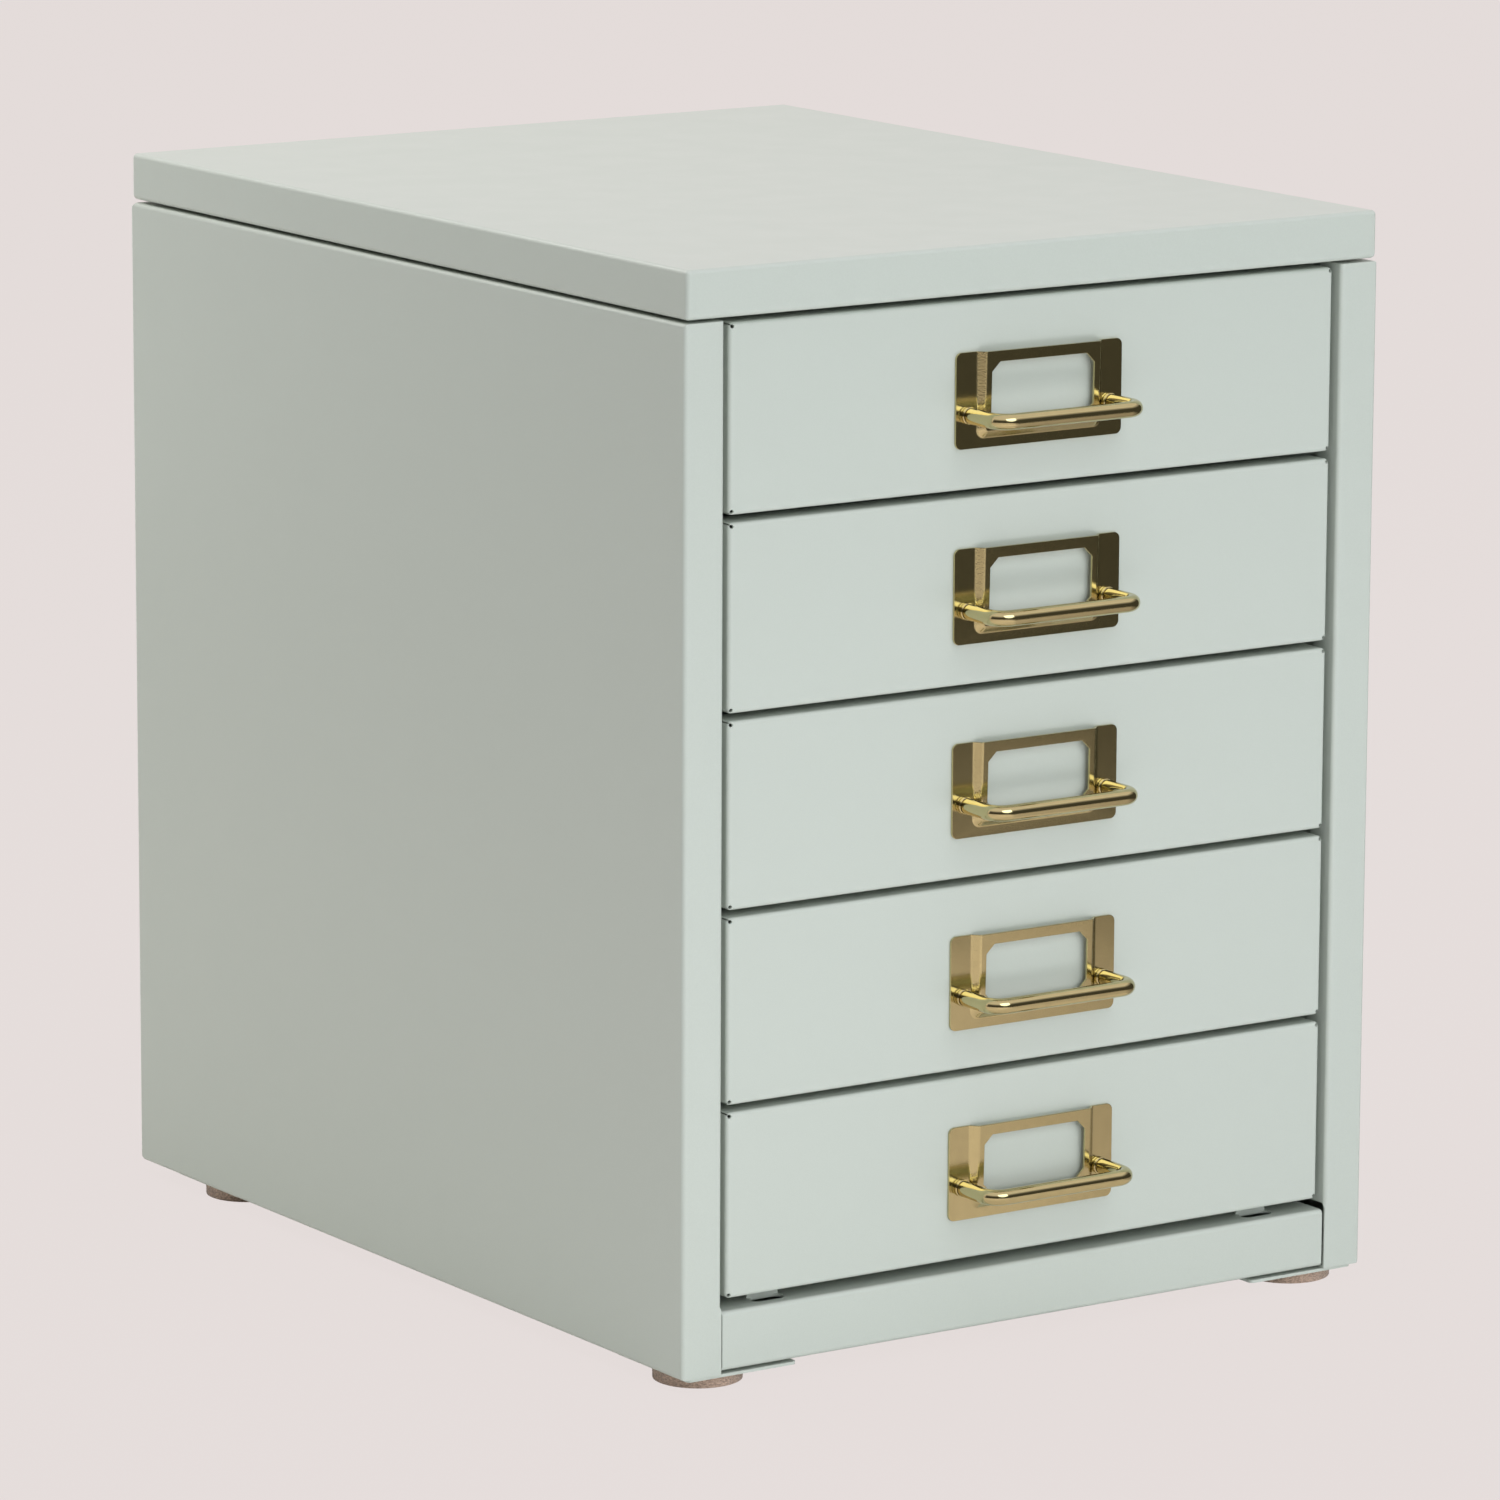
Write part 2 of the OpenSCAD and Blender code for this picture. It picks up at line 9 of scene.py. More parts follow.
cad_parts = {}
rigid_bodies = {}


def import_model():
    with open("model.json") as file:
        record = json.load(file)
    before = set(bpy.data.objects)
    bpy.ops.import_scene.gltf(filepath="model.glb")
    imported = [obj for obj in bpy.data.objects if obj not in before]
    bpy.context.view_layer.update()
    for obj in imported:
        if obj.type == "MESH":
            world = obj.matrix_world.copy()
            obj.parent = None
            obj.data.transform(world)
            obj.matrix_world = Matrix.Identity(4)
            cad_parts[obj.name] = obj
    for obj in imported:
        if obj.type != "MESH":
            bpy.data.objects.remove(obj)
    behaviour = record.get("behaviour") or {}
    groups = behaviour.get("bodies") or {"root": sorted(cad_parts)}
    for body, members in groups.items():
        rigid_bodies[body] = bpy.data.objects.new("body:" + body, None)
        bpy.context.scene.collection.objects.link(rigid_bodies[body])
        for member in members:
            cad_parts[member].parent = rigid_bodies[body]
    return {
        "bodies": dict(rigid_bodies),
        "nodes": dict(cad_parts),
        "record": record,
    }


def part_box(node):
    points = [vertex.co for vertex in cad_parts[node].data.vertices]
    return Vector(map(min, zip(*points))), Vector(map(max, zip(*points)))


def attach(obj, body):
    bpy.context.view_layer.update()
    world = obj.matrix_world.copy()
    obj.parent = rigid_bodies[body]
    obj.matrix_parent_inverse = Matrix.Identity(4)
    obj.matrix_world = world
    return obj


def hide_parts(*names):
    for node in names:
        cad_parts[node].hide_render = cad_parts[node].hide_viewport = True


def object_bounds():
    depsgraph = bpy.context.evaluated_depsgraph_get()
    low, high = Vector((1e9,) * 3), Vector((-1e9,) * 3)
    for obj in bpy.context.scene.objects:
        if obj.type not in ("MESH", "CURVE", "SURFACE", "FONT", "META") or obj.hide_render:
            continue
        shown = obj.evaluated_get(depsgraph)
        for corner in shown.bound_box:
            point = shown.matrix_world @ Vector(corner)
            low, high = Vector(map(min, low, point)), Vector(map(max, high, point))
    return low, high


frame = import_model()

bl_info = {
    "name": "Steel Drawer Cabinet",
    "version": (1, 0, 0),
    "blender": (4, 5, 0),
    "location": "View3D > Sidebar > Cabinet",
    "description": "Dresses a small steel drawer cabinet: folded sheet, brass pulls, felt pads",
    "category": "Object",
}

CAD_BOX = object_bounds()
DRAWERS = [body for body in frame["bodies"] if body != "cabinet"]
CORNERS = ["front_left", "front_right", "rear_left", "rear_right"]
NEAR = 0.00001  # two places closer than this count as one


# ---- Values that a user would change ----

def length(name, description, default):
    return FloatProperty(
        name=name, description=description, default=default, min=0.0,
        precision=6, subtype="DISTANCE", unit="LENGTH",
    )


def small(name, description, millimetres):
    return length(name, description, millimetres * 0.001)


def spot(name, description, default):
    return FloatVectorProperty(
        name=name, description=description, default=default, subtype="TRANSLATION", unit="LENGTH",
    )


def colour(name, description, default):
    return FloatVectorProperty(
        name=name, description=description, default=default, min=0.0, max=1.0, subtype="COLOR",
    )


def share(name, description, default):
    return FloatProperty(
        name=name, description=description, default=default, min=0.0, max=1.0, subtype="FACTOR",
    )


def angle(name, description, degrees):
    return FloatProperty(
        name=name, description=description, default=math.radians(degrees),
        subtype="ANGLE", unit="ROTATION",
    )


def count(name, description, default):
    return IntProperty(name=name, description=description, default=default, min=1)


def fineness(name, pattern, default):
    return FloatProperty(name=name, description=f"Lumps per metre of {pattern}", default=default, min=0.0)


def watts(name, softbox, default):
    return FloatProperty(name=name, description=f"Power of the {softbox}", default=default, min=0.0)


class CabinetSheet(bpy.types.PropertyGroup):
    """Folded sheet of the cabinet's body and lid"""

    sheet: small("Sheet", "Thickness of the sheet steel", 1.0)
    fold_radius: small("Fold radius", "Outside radius of the folds", 1.6)
    burr: small("Edge break", "Rounding of the cut edges under the paint", 0.2)
    stile_return: small("Stile return", "Depth of the return behind each stile", 12.0)
    return_foot: small("Return foot", "Height of the lower end of the return above the body", 23.0)
    corner_clip: small("Corner clip", "Corner clipped off the back of each side panel", 2.5)
    lid_hem: small("Lid hem", "Width of the hem turned in under the lid", 14.0)
    plinth_height: small("Plinth height", "Height of the plinth rail", 20.0)
    plinth_end_gap: small("Plinth end gap", "Gap between the plinth and each stile", 0.6)
    slot_length: small("Slot length", "Length of the slots in the plinth", 12.5)
    slot_width: small("Slot width", "Width of the slots in the plinth", 5.5)
    slot_pitch: small("Slot pitch", "Distance between the two slots", 202.0)
    slot_setback: small("Slot setback", "From the plinth's face to the middle of the slots", 8.0)
    slot_sides: count("Slot sides", "Sides of the full round at a slot's ends", 32)
    lip_radius: small("Lip radius", "Radius of the upper corners of the lips behind the slots", 1.2)
    lip_steps: count("Lip steps", "Faces across a lip's rounded corner", 4)
    fold_steps: count("Fold steps", "Faces across a fold", 5)


class DrawerSheet(bpy.types.PropertyGroup):
    """Folded sheet of the drawer fronts"""

    sheet: small("Sheet", "Thickness of the drawers' sheet steel", 0.8)
    fold_radius: small("Fold radius", "Outside radius of the folds", 1.4)
    burr: small("Edge break", "Rounding of the cut edges under the paint", 0.12)
    corner_radius: small("Corner radius", "Radius of the front's corners", 1.8)
    low_lip: small("Lower lip", "Height of the lip behind the lower edge", 8.0)
    high_lip: small("Upper lip", "Height of the lip behind the upper edge", 17.5)
    relief_radius: small("Relief radius", "Radius of the relief hole at each corner", 0.65)
    relief_inset: small("Relief inset", "From the front's edges to the middle of a relief hole", 1.2)
    relief_slit: small("Relief slit", "Width of the slit between two returns", 0.5)
    relief_sides: count("Relief sides", "Sides of a relief hole", 20)
    fold_steps: count("Fold steps", "Faces across a fold or a rounded corner", 5)


class PullSizes(bpy.types.PropertyGroup):
    """Stamped label frame and bent pull bar"""

    plate: small("Plate", "Thickness of the stamped plate", 0.9)
    plate_radius: small("Plate radius", "Corner radius of the plate", 2.2)
    pocket_rise: small("Pocket rise", "Height of the pressed pocket", 1.8)
    pocket_slope: small("Pocket slope", "Width of the sloped step round the pocket", 2.2)
    pocket_side: small("Pocket side", "From the plate's sides to the foot of the step", 8.3)
    pocket_foot: small("Pocket foot", "From the plate's lower edge to the foot of the step", 3.2)
    pocket_lean: angle("Pocket lean", "How far the pocket's face leans out towards its open top", 1.5)
    pocket_radius: small("Pocket radius", "Radius of the pocket's lower corners", 3.4)
    corner_steps: count("Corner steps", "Faces across a rounded corner of the plate or pocket", 6)
    press_turn: angle("Press turn", "Turn between two faces from which they meet in a pressed bend", 15.0)
    press_radius: small("Press radius", "Rounding of the pressed bends", 0.5)
    press_steps: count("Press steps", "Faces across a pressed bend", 3)
    window_side: small("Window side", "From the foot of the step to the window", 4.5)
    window_sill: small("Window sill", "From the foot of the lower step to the window", 5.2)
    window_head: small("Window head", "Width of the band above the window", 3.6)
    window_clip: small("Window clip", "Clipped corners of the window", 3.2)
    burr: small("Edge break", "Rounding of the plate's cut edges", 0.12)
    bar: small("Bar", "Diameter of the bar", 5.4)
    bar_sides: count("Bar sides", "Sides of the bar's round section", 32)
    bend_radius: small("Bend radius", "Radius of the bends to the middle of the bar", 5.5)
    bend_steps: count("Bend steps", "Rings of faces along a bend", 12)
    collar: small("Collar", "Diameter of the collar on the plate", 5.8)
    collar_length: small("Collar length", "Length of the collar", 1.2)
    groove: small("Groove", "Diameter of the groove beyond the collar", 4.2)
    groove_length: small("Groove length", "Length of the groove", 0.6)
    stud: small("Stud", "Diameter of the threaded end", 4.0)
    chamfer: small("Chamfer", "Chamfer on the collar and on the foot of the arm", 0.25)
    post_inset: small("Post inset", "From the plate's sides to the middle of the posts", 5.0)


class FeltSizes(bpy.types.PropertyGroup):
    """Pressed felt of the pads"""

    sides: count("Sides", "Sides of a pad's round", 180)
    layers: count("Layers", "Layers of faces up a pad's wall", 8)
    rim_radius: small("Rim radius", "Rounding of a pad's rims", 0.4)
    rim_steps: count("Rim steps", "Faces across a rim", 2)
    wall_inset: small("Wall inset", "From a pad's flat sides to where its tufts start", 0.3)
    tuft: small("Tuft", "Size of the tufts in the wall", 0.9)
    tuft_detail: count("Tuft detail", "Levels of finer tufts", 3)
    tuft_depth: small("Tuft depth", "Depth of the tufts, inwards and outwards together", 0.7)
    tuft_sink: share("Tuft sink", "Share of the tufts' depth that goes inwards", 0.62)


class Finishes(bpy.types.PropertyGroup):
    """Colours, gloss and grain of the finishes"""

    paint: colour("Powder coat", "Colour of the powder coat", (0.557, 0.600, 0.535))
    paint_roughness: share("Powder coat roughness", "Roughness of the powder coat", 0.40)
    speckle: fineness("Speckle", "the powder coat's pigment", 2600.0)
    mottle: fineness("Mottle", "the powder coat's uneven gloss", 60.0)
    peel: fineness("Orange peel", "the powder coat's orange peel", 620.0)
    peel_depth: small("Orange peel depth", "Depth of the orange peel", 0.02)
    brass: colour("Brass", "Colour of the plated brass", (0.57, 0.50, 0.27))
    brass_cloud: fineness("Brass cloud", "the brass's faint clouds", 300.0)
    brass_haze: fineness("Brass haze", "the brass's uneven gloss", 900.0)
    bar_roughness: share("Bar roughness", "Roughness of the polished bars", 0.09)
    bar_waves: fineness("Bar waves", "the waves in a bar", 1400.0)
    bar_wave_depth: small("Bar wave depth", "Depth of the waves in a bar", 0.001)
    plate_roughness: share("Plate roughness", "Roughness of the stamped plates", 0.13)
    plate_waves: fineness("Plate waves", "the waves in a plate", 2200.0)
    plate_wave_depth: small("Plate wave depth", "Depth of the waves in a plate", 0.006)
    pucker: fineness("Pucker", "the dents in a plate's pressed steps", 2600.0)
    pucker_depth: small("Pucker depth", "Depth of the dents in the pressed steps", 0.06)
    zinc: colour("Zinc", "Colour of the zinc plating", (0.60, 0.61, 0.62))
    zinc_roughness: share("Zinc roughness", "Roughness of the zinc plating", 0.35)
    zinc_spangle: fineness("Zinc spangle", "the zinc's spangle", 240.0)
    zinc_haze: fineness("Zinc haze", "the zinc's uneven gloss", 500.0)
    nylon: colour("Nylon", "Colour of the washers", (0.045, 0.045, 0.045))
    nylon_roughness: share("Nylon roughness", "Roughness of the washers", 0.55)
    nylon_grain: fineness("Nylon grain", "the washers' grain", 1800.0)
    nylon_grain_depth: small("Nylon grain depth", "Depth of the washers' grain", 0.03)
    felt: colour("Felt", "Colour of the felt pads", (0.49, 0.345, 0.26))
    felt_roughness: share("Felt roughness", "Roughness of the felt", 0.95)
    felt_sheen: share("Felt sheen", "Pale edge that the fibres give", 0.35)
    felt_fibre: fineness("Felt fibre", "the felt's fibres", 1100.0)
    felt_nap: small("Felt nap", "Depth of the fibres", 0.3)


class Studio(bpy.types.PropertyGroup):
    """Camera, floor and lights"""

    camera_place: spot("Camera", "Place of the camera", (-1.5658, -2.3270, 0.7308))
    heading: angle("Heading", "Turn of the view from +Y towards +X", 33.912)
    dip: angle("Dip", "How far the view points below level", 11.261)
    roll: angle("Roll", "Turn of the camera about its view", 0.239)
    lens: FloatProperty(
        name="Lens", description="Focal length on the sensor of 36 mm, in millimetres",
        default=196.9, subtype="DISTANCE_CAMERA",
    )
    floor_width: length("Floor width", "Width of the floor", 40.0)
    backdrop: colour("Backdrop", "Colour of the floor and the background", (0.784, 0.723, 0.708))
    sky: FloatProperty(name="Sky", description="Strength of the even light", default=0.25)
    gloss: FloatProperty(name="Gloss", description="Strength of the backdrop in gloss", default=1.12)
    bounce: share("Bounce", "Brightness of the floor in the light that it sends up", 0.92)
    glow: share("Glow", "Share of its own colour that the floor shows to the camera", 0.98)
    # Warm tint of the floor that only gloss sees: painted reflection colour that warms the brass
    paper: colour("Paper", "Colour of the floor in gloss", (0.93, 0.80, 0.70))
    cove_radius: length("Cove radius", "From the pulls to the dark wall round the front", 2.8)
    cove_sides: count("Cove sides", "Sides of the full round that the dark wall is part of", 72)
    cove_height: length("Cove height", "Height of the dark wall", 2.5)
    cove_fade: length("Cove fade", "Height from which the wall turns pale", 1.2)
    cove_foot: length("Cove foot", "From the pulls to the near edge of the dark floor", 0.15)
    cove_lift: length("Cove lift", "Height of the dark floor above the pale one", 0.002)
    cove_left: angle("Cove left", "Left end of the dark wall, from straight ahead", -90.0)
    cove_right: angle("Cove right", "Right end of the dark wall, from straight ahead", 110.0)
    cove_light: colour("Cove light", "Light of the dark wall and floor", (0.075, 0.070, 0.058))
    paper_middle: spot("Paper middle", "Middle of the pale paper on the floor", (-1.0, -0.7, 0.0))
    paper_start: length("Paper start", "From the paper's middle to where it turns dark", 1.13)
    paper_end: length("Paper end", "From the paper's middle to where the dark is full", 1.84)
    front_watts: watts("Front", "front softbox", 43.8)
    low_watts: watts("Low", "low strip in front", 0.52)
    top_watts: watts("Top", "softbox overhead", 17.4)
    back_watts: watts("Back", "back softbox", 10.6)
    side_watts: watts("Side", "small softbox at the side", 0.93)
    right_watts: watts("Right", "low softbox on the right", 3.0)


# ---- Selecting and shaping in edit mode ----

def at(**places):
    """A test for parts of a mesh whose corners all lie at the places given along x, y or z."""
    def test(part):
        corners = [part] if isinstance(part, bmesh.types.BMVert) else part.verts
        return all(
            abs(getattr(corner.co, axis) - place) < NEAR
            for corner in corners for axis, place in places.items()
        )
    return test


def every(part):
    return True


def along_y(low, high):
    """A test for the four edges of a box that run along Y."""
    return lambda edge: any(at(x=x, z=z)(edge) for x in (low.x, high.x) for z in (low.z, high.z))


def middle(part):
    """The mean place of a face's or an edge's corners."""
    corners = list(part.verts)
    return sum((corner.co for corner in corners), Vector()) / len(corners)


def choose(kind, test):
    """Selects only the faces, edges or vertices that pass the test."""
    bpy.ops.mesh.select_mode(type=kind)
    bpy.ops.mesh.select_all(action="DESELECT")
    mesh = bpy.context.object.data
    shape = bmesh.from_edit_mesh(mesh)
    shape.normal_update()
    parts = {"FACE": shape.faces, "EDGE": shape.edges, "VERT": shape.verts}[kind]
    found = [part for part in parts if test(part)]
    for part in found:
        part.select_set(True)
    bmesh.update_edit_mesh(mesh)
    if not found:
        raise RuntimeError(f"nothing to select on {bpy.context.object.name}")


def split(axis, place):
    """Cuts what is selected where the plane across that axis meets it."""
    across = Vector([1.0 if axis == name else 0.0 for name in "xyz"])
    bpy.ops.mesh.bisect(plane_co=across * place, plane_no=across)


def trim(point, normal, fill=False):
    """Takes off all that lies beyond the plane, on the side that its normal points to."""
    choose("FACE", every)
    bpy.ops.mesh.bisect(plane_co=point, plane_no=normal, clear_outer=True, use_fill=fill)


def round_edges(test, radius, steps):
    choose("EDGE", test)
    bpy.ops.mesh.bevel(offset_type="OFFSET", offset=radius, segments=steps, affect="EDGES")


def round_corners(test, radius, steps):
    choose("VERT", test)
    bpy.ops.mesh.bevel(offset_type="OFFSET", offset=radius, segments=steps, affect="VERTICES")


def extrude(*way):
    bpy.ops.mesh.extrude_region_move(TRANSFORM_OT_translate={"value": way})


def start_edit():
    bpy.ops.object.mode_set(mode="EDIT")


def end_edit():
    bpy.ops.object.mode_set(mode="OBJECT")


def start_piece(name):
    """Names the primitive that was just added and opens it in edit mode."""
    bpy.ops.object.transform_apply(location=True, rotation=True, scale=True)
    piece = bpy.context.object
    piece.name = piece.data.name = name
    start_edit()
    return piece


def add_box(name, low, high):
    bpy.ops.mesh.primitive_cube_add(size=1, location=(low + high) / 2, scale=high - low)
    return start_piece(name)


def add_round(name, centre, radius, depth, sides, turn=(0.0, 0.0, 0.0)):
    bpy.ops.mesh.primitive_cylinder_add(
        vertices=sides, radius=radius, depth=depth, location=centre, rotation=turn
    )
    return start_piece(name)


def select_only(piece, *others):
    """Selects the pieces and makes the first one active."""
    bpy.ops.object.select_all(action="DESELECT")
    for chosen in (*others, piece):
        chosen.select_set(True)
    bpy.context.view_layer.objects.active = piece


def join(piece, *others):
    """Joins the others to a piece."""
    select_only(piece, *others)
    bpy.ops.object.join()


def modify(piece, kind, **settings):
    """Adds a modifier with these settings and applies it."""
    select_only(piece)
    bpy.ops.object.modifier_add(type=kind)
    modifier = piece.modifiers[-1]
    for name, value in settings.items():
        setattr(modifier, name, value)
    bpy.ops.object.modifier_apply(modifier=modifier.name)


def thicken(piece, thickness):
    """Gives a skin its wall, on the inner side."""
    modify(piece, "SOLIDIFY", thickness=thickness, offset=-1.0, use_even_offset=True)


def carve(piece, *cutters):
    """Cuts the cutters' shapes out of a piece and removes them."""
    for cutter in cutters:
        modify(piece, "BOOLEAN", operation="DIFFERENCE", solver="EXACT", object=cutter)
        bpy.data.objects.remove(cutter)


def break_edges(piece, width, steps=2, limit=40):
    """Rounds the edges that turn by more than the limit, in degrees."""
    modify(
        piece, "BEVEL", width=width, segments=steps, limit_method="ANGLE",
        angle_limit=math.radians(limit), use_clamp_overlap=True,
    )


def shade(piece, limit=32):
    """Smooth shading, up to a limit in degrees, that leaves the flats flat."""
    select_only(piece)
    bpy.ops.object.shade_smooth_by_angle(angle=math.radians(limit))
    modify(piece, "WEIGHTED_NORMAL", mode="FACE_AREA", weight=80, keep_sharp=True)


def finish_sheet(piece, burr):
    """Breaks the sheet's cut edges and shades it."""
    break_edges(piece, burr)
    shade(piece)


def copy_to(piece, name, shift=(0.0, 0.0, 0.0)):
    """A copy with a mesh of its own, moved in its mesh."""
    twin = piece.copy()
    twin.data = piece.data.copy()
    twin.name = twin.data.name = name
    bpy.context.scene.collection.objects.link(twin)
    twin.data.transform(Matrix.Translation(shift))
    return twin


def copy_mirrored(piece, name):
    """A copy turned to the other side of the cabinet, with its faces outwards again."""
    twin = copy_to(piece, name)
    twin.data.transform(Matrix.Diagonal((-1.0, 1.0, 1.0, 1.0)))
    twin.data.flip_normals()
    return twin


def mount(piece, body, slot, *nodes, look=None):
    """Puts a finished piece in place of its CAD nodes, in its slot's finish or another look."""
    piece.data.materials.clear()
    piece.data.materials.append(finish(look or slot))
    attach(piece, body)
    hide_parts(*nodes)


# ---- Finishes ----

NOISE_SPAN = (0.3, 0.7)  # nearly all of a noise lies between these
STEP_TURN = (0.3, 0.5)  # the sideways part of the normal, from a plate's flat to a pressed step


def new_finish(name):
    """A material, its nodes and its shader."""
    material = bpy.data.materials.new(name)
    material.use_nodes = True
    return material, material.node_tree, material.node_tree.nodes["Principled BSDF"]


def feed(tree, socket, value):
    """Links an output to a socket, or sets the socket to a value."""
    if isinstance(value, bpy.types.NodeSocket):
        tree.links.new(value, socket)
    else:
        socket.default_value = value


def fill(tree, node, **inputs):
    """Feeds a node's inputs by their names, with _ for a space."""
    for name, value in inputs.items():
        feed(tree, node.inputs[name.replace("_", " ")], value)
    return node


def add_node(tree, kind, **inputs):
    """A new node of that kind, with its inputs fed."""
    return fill(tree, tree.nodes.new(f"ShaderNode{kind}"), **inputs)


def object_place(tree):
    return add_node(tree, "TexCoord").outputs["Object"]


def noise(tree, scale, detail=2.0, stretch=(1.0, 1.0, 1.0)):
    """Noise on Object coordinates, with scale in lumps per metre."""
    place = add_node(tree, "Mapping", Vector=object_place(tree), Scale=stretch).outputs["Vector"]
    return add_node(tree, "TexNoise", Vector=place, Scale=scale, Detail=detail).outputs["Fac"]


def ramp(tree, value, start, end, low=0.0, high=1.0):
    """Runs from low to high while the value runs from start to end."""
    span = add_node(tree, "MapRange", Value=value, From_Min=start, From_Max=end, To_Min=low, To_Max=high)
    return span.outputs["Result"]


def spread(tree, value, low=0.0, high=1.0):
    """Noise that runs from low to high over its usual span."""
    return ramp(tree, value, *NOISE_SPAN, low, high)


def combine(tree, operation, *values, kind="Math"):
    """One value out of one or two, by a Math or VectorMath node."""
    node = add_node(tree, kind)
    node.operation = operation
    for socket, value in zip(node.inputs, values):
        feed(tree, socket, value)
    return node.outputs["Value"]


def tint(tree, value, first, second):
    """A colour between two, by a value."""
    mix = add_node(tree, "Mix")
    mix.data_type = "RGBA"
    fill(tree, mix, Factor=value, A=(*first, 1.0), B=(*second, 1.0))
    return mix.outputs["Result"]


def bump(tree, height, depth, **below):
    """A bump of that depth in metres, on top of another one where given as Normal."""
    return add_node(tree, "Bump", Strength=1.0, Distance=depth, Height=height, **below).outputs["Normal"]


def shaded(base, factor):
    return tuple(min(1.0, channel * factor) for channel in base)


def cast(tree, pattern, base, dark, light):
    """A colour that a pattern runs from a darker to a lighter cast of the base colour."""
    return tint(tree, pattern, shaded(base, dark), shaded(base, light))


def uneven(tree, pattern, roughness, part):
    """Roughness that a pattern runs up and down by a part of itself."""
    return spread(tree, pattern, roughness * (1 - part), roughness * (1 + part))


def powder_coat(name, values):
    """Satin powder coat: fine orange peel, a faint mottle and a speckle of pigment."""
    material, tree, shader = new_finish(name)
    pigment = spread(tree, noise(tree, values.speckle, detail=1.0))
    fill(
        tree, shader, IOR=1.5,
        Base_Color=cast(tree, pattern=pigment, base=values.paint, dark=0.985, light=1.015),
        Roughness=uneven(tree, noise(tree, values.mottle, detail=3.0), values.paint_roughness, part=0.075),
        Normal=bump(tree, noise(tree, values.peel), values.peel_depth),
    )
    return material


def on_steps(tree):
    """One on the steps at a plate's sides, which face sideways, and nothing on its flats."""
    normal = add_node(tree, "NewGeometry").outputs["True Normal"]
    sideways = add_node(tree, "SeparateXYZ", Vector=normal).outputs["X"]
    return ramp(tree, combine(tree, "ABSOLUTE", sideways), *STEP_TURN)


def plated_brass(name, values, roughness, waves, wave_depth, pucker_depth=0.0):
    """Plated brass, faintly cloudy, with waves in its surface and a deeper pucker on pressed steps."""
    material, tree, shader = new_finish(name)
    cloud = spread(tree, noise(tree, values.brass_cloud, detail=4.0))
    surface = bump(tree, noise(tree, waves), wave_depth)
    if pucker_depth:
        dents = noise(tree, values.pucker, detail=1.0, stretch=(1.0, 1.0, 0.7))
        dents = combine(tree, "MULTIPLY", dents, on_steps(tree))
        surface = bump(tree, dents, pucker_depth, Normal=surface)
    fill(
        tree, shader, Metallic=1.0, Normal=surface,
        Base_Color=cast(tree, pattern=cloud, base=values.brass, dark=0.97, light=1.03),
        Roughness=uneven(tree, noise(tree, values.brass_haze), roughness, part=0.1),
    )
    return material


def polished_brass(name, values):
    """The bars' brass."""
    return plated_brass(name, values, values.bar_roughness, values.bar_waves, values.bar_wave_depth)


def stamped_brass(name, values):
    """The label plates' brass."""
    return plated_brass(
        name, values, values.plate_roughness, values.plate_waves, values.plate_wave_depth,
        pucker_depth=values.pucker_depth,
    )


def zinc_plate(name, values):
    """Dull zinc plating with a faint spangle."""
    material, tree, shader = new_finish(name)
    spangle = spread(tree, noise(tree, values.zinc_spangle, detail=3.0))
    fill(
        tree, shader, Metallic=1.0,
        Base_Color=cast(tree, pattern=spangle, base=values.zinc, dark=0.88, light=1.06),
        Roughness=uneven(tree, noise(tree, values.zinc_haze), values.zinc_roughness, part=0.2),
    )
    return material


def black_nylon(name, values):
    """Matt moulded nylon."""
    material, tree, shader = new_finish(name)
    grain = noise(tree, values.nylon_grain)
    fill(
        tree, shader, Roughness=values.nylon_roughness,
        Base_Color=cast(tree, pattern=spread(tree, grain), base=values.nylon, dark=0.85, light=1.2),
        Normal=bump(tree, grain, values.nylon_grain_depth),
    )
    return material


def wool_felt(name, values):
    """Pressed wool felt: fibres in several browns, lying every way."""
    material, tree, shader = new_finish(name)
    fibres = spread(tree, noise(tree, values.felt_fibre, detail=6.0, stretch=(1.0, 1.0, 2.2)))
    fill(
        tree, shader, Roughness=values.felt_roughness, Sheen_Weight=values.felt_sheen,
        Base_Color=cast(tree, pattern=fibres, base=values.felt, dark=0.62, light=1.45),
        Normal=bump(tree, fibres, values.felt_nap),
    )
    return material


RECIPES = {
    "cabinet_paint": powder_coat, "drawer_paint": powder_coat, "brass": polished_brass,
    "stamped_brass": stamped_brass, "zinc": zinc_plate, "nylon": black_nylon, "felt": wool_felt,
}


def finish(name):
    """The finish of that name, made the first time that it is asked for."""
    made = f"{name}_finish"
    return bpy.data.materials.get(made) or RECIPES[name](made, bpy.context.scene.finishes)


# ---- Pieces ----

def model_side_panel(sizes):
    """Left side: skin, stile with its return, and flanges at back, top and bottom."""
    low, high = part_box("left_side_panel")
    return_back = low.y + sizes.stile_return
    return_foot = low.z + sizes.return_foot
    piece = add_box("left_side_shell", low, high)
    choose("FACE", at(x=high.x))
    split("y", return_back)
    choose("FACE", lambda face: at(x=high.x)(face) or at(y=low.y)(face))
    split("z", return_foot)
    choose("FACE", lambda face: at(x=high.x)(face)
           and (middle(face).y > return_back or middle(face).z < return_foot))
    bpy.ops.mesh.delete(type="FACE")
    round_edges(
        lambda edge: at(x=low.x, y=low.y)(edge) or at(x=low.x, y=high.y)(edge)
        or at(x=low.x, z=low.z)(edge) or at(x=low.x, z=high.z)(edge)
        or (at(x=high.x, y=low.y)(edge) and middle(edge).z > return_foot),
        sizes.fold_radius, sizes.fold_steps,
    )
    end_edit()
    thicken(piece, sizes.sheet)
    start_edit()
    trim((0, high.y - sizes.corner_clip, low.z), (0, 1, -1), fill=True)
    trim((0, high.y - sizes.corner_clip, high.z), (0, 1, 1), fill=True)
    end_edit()
    return piece


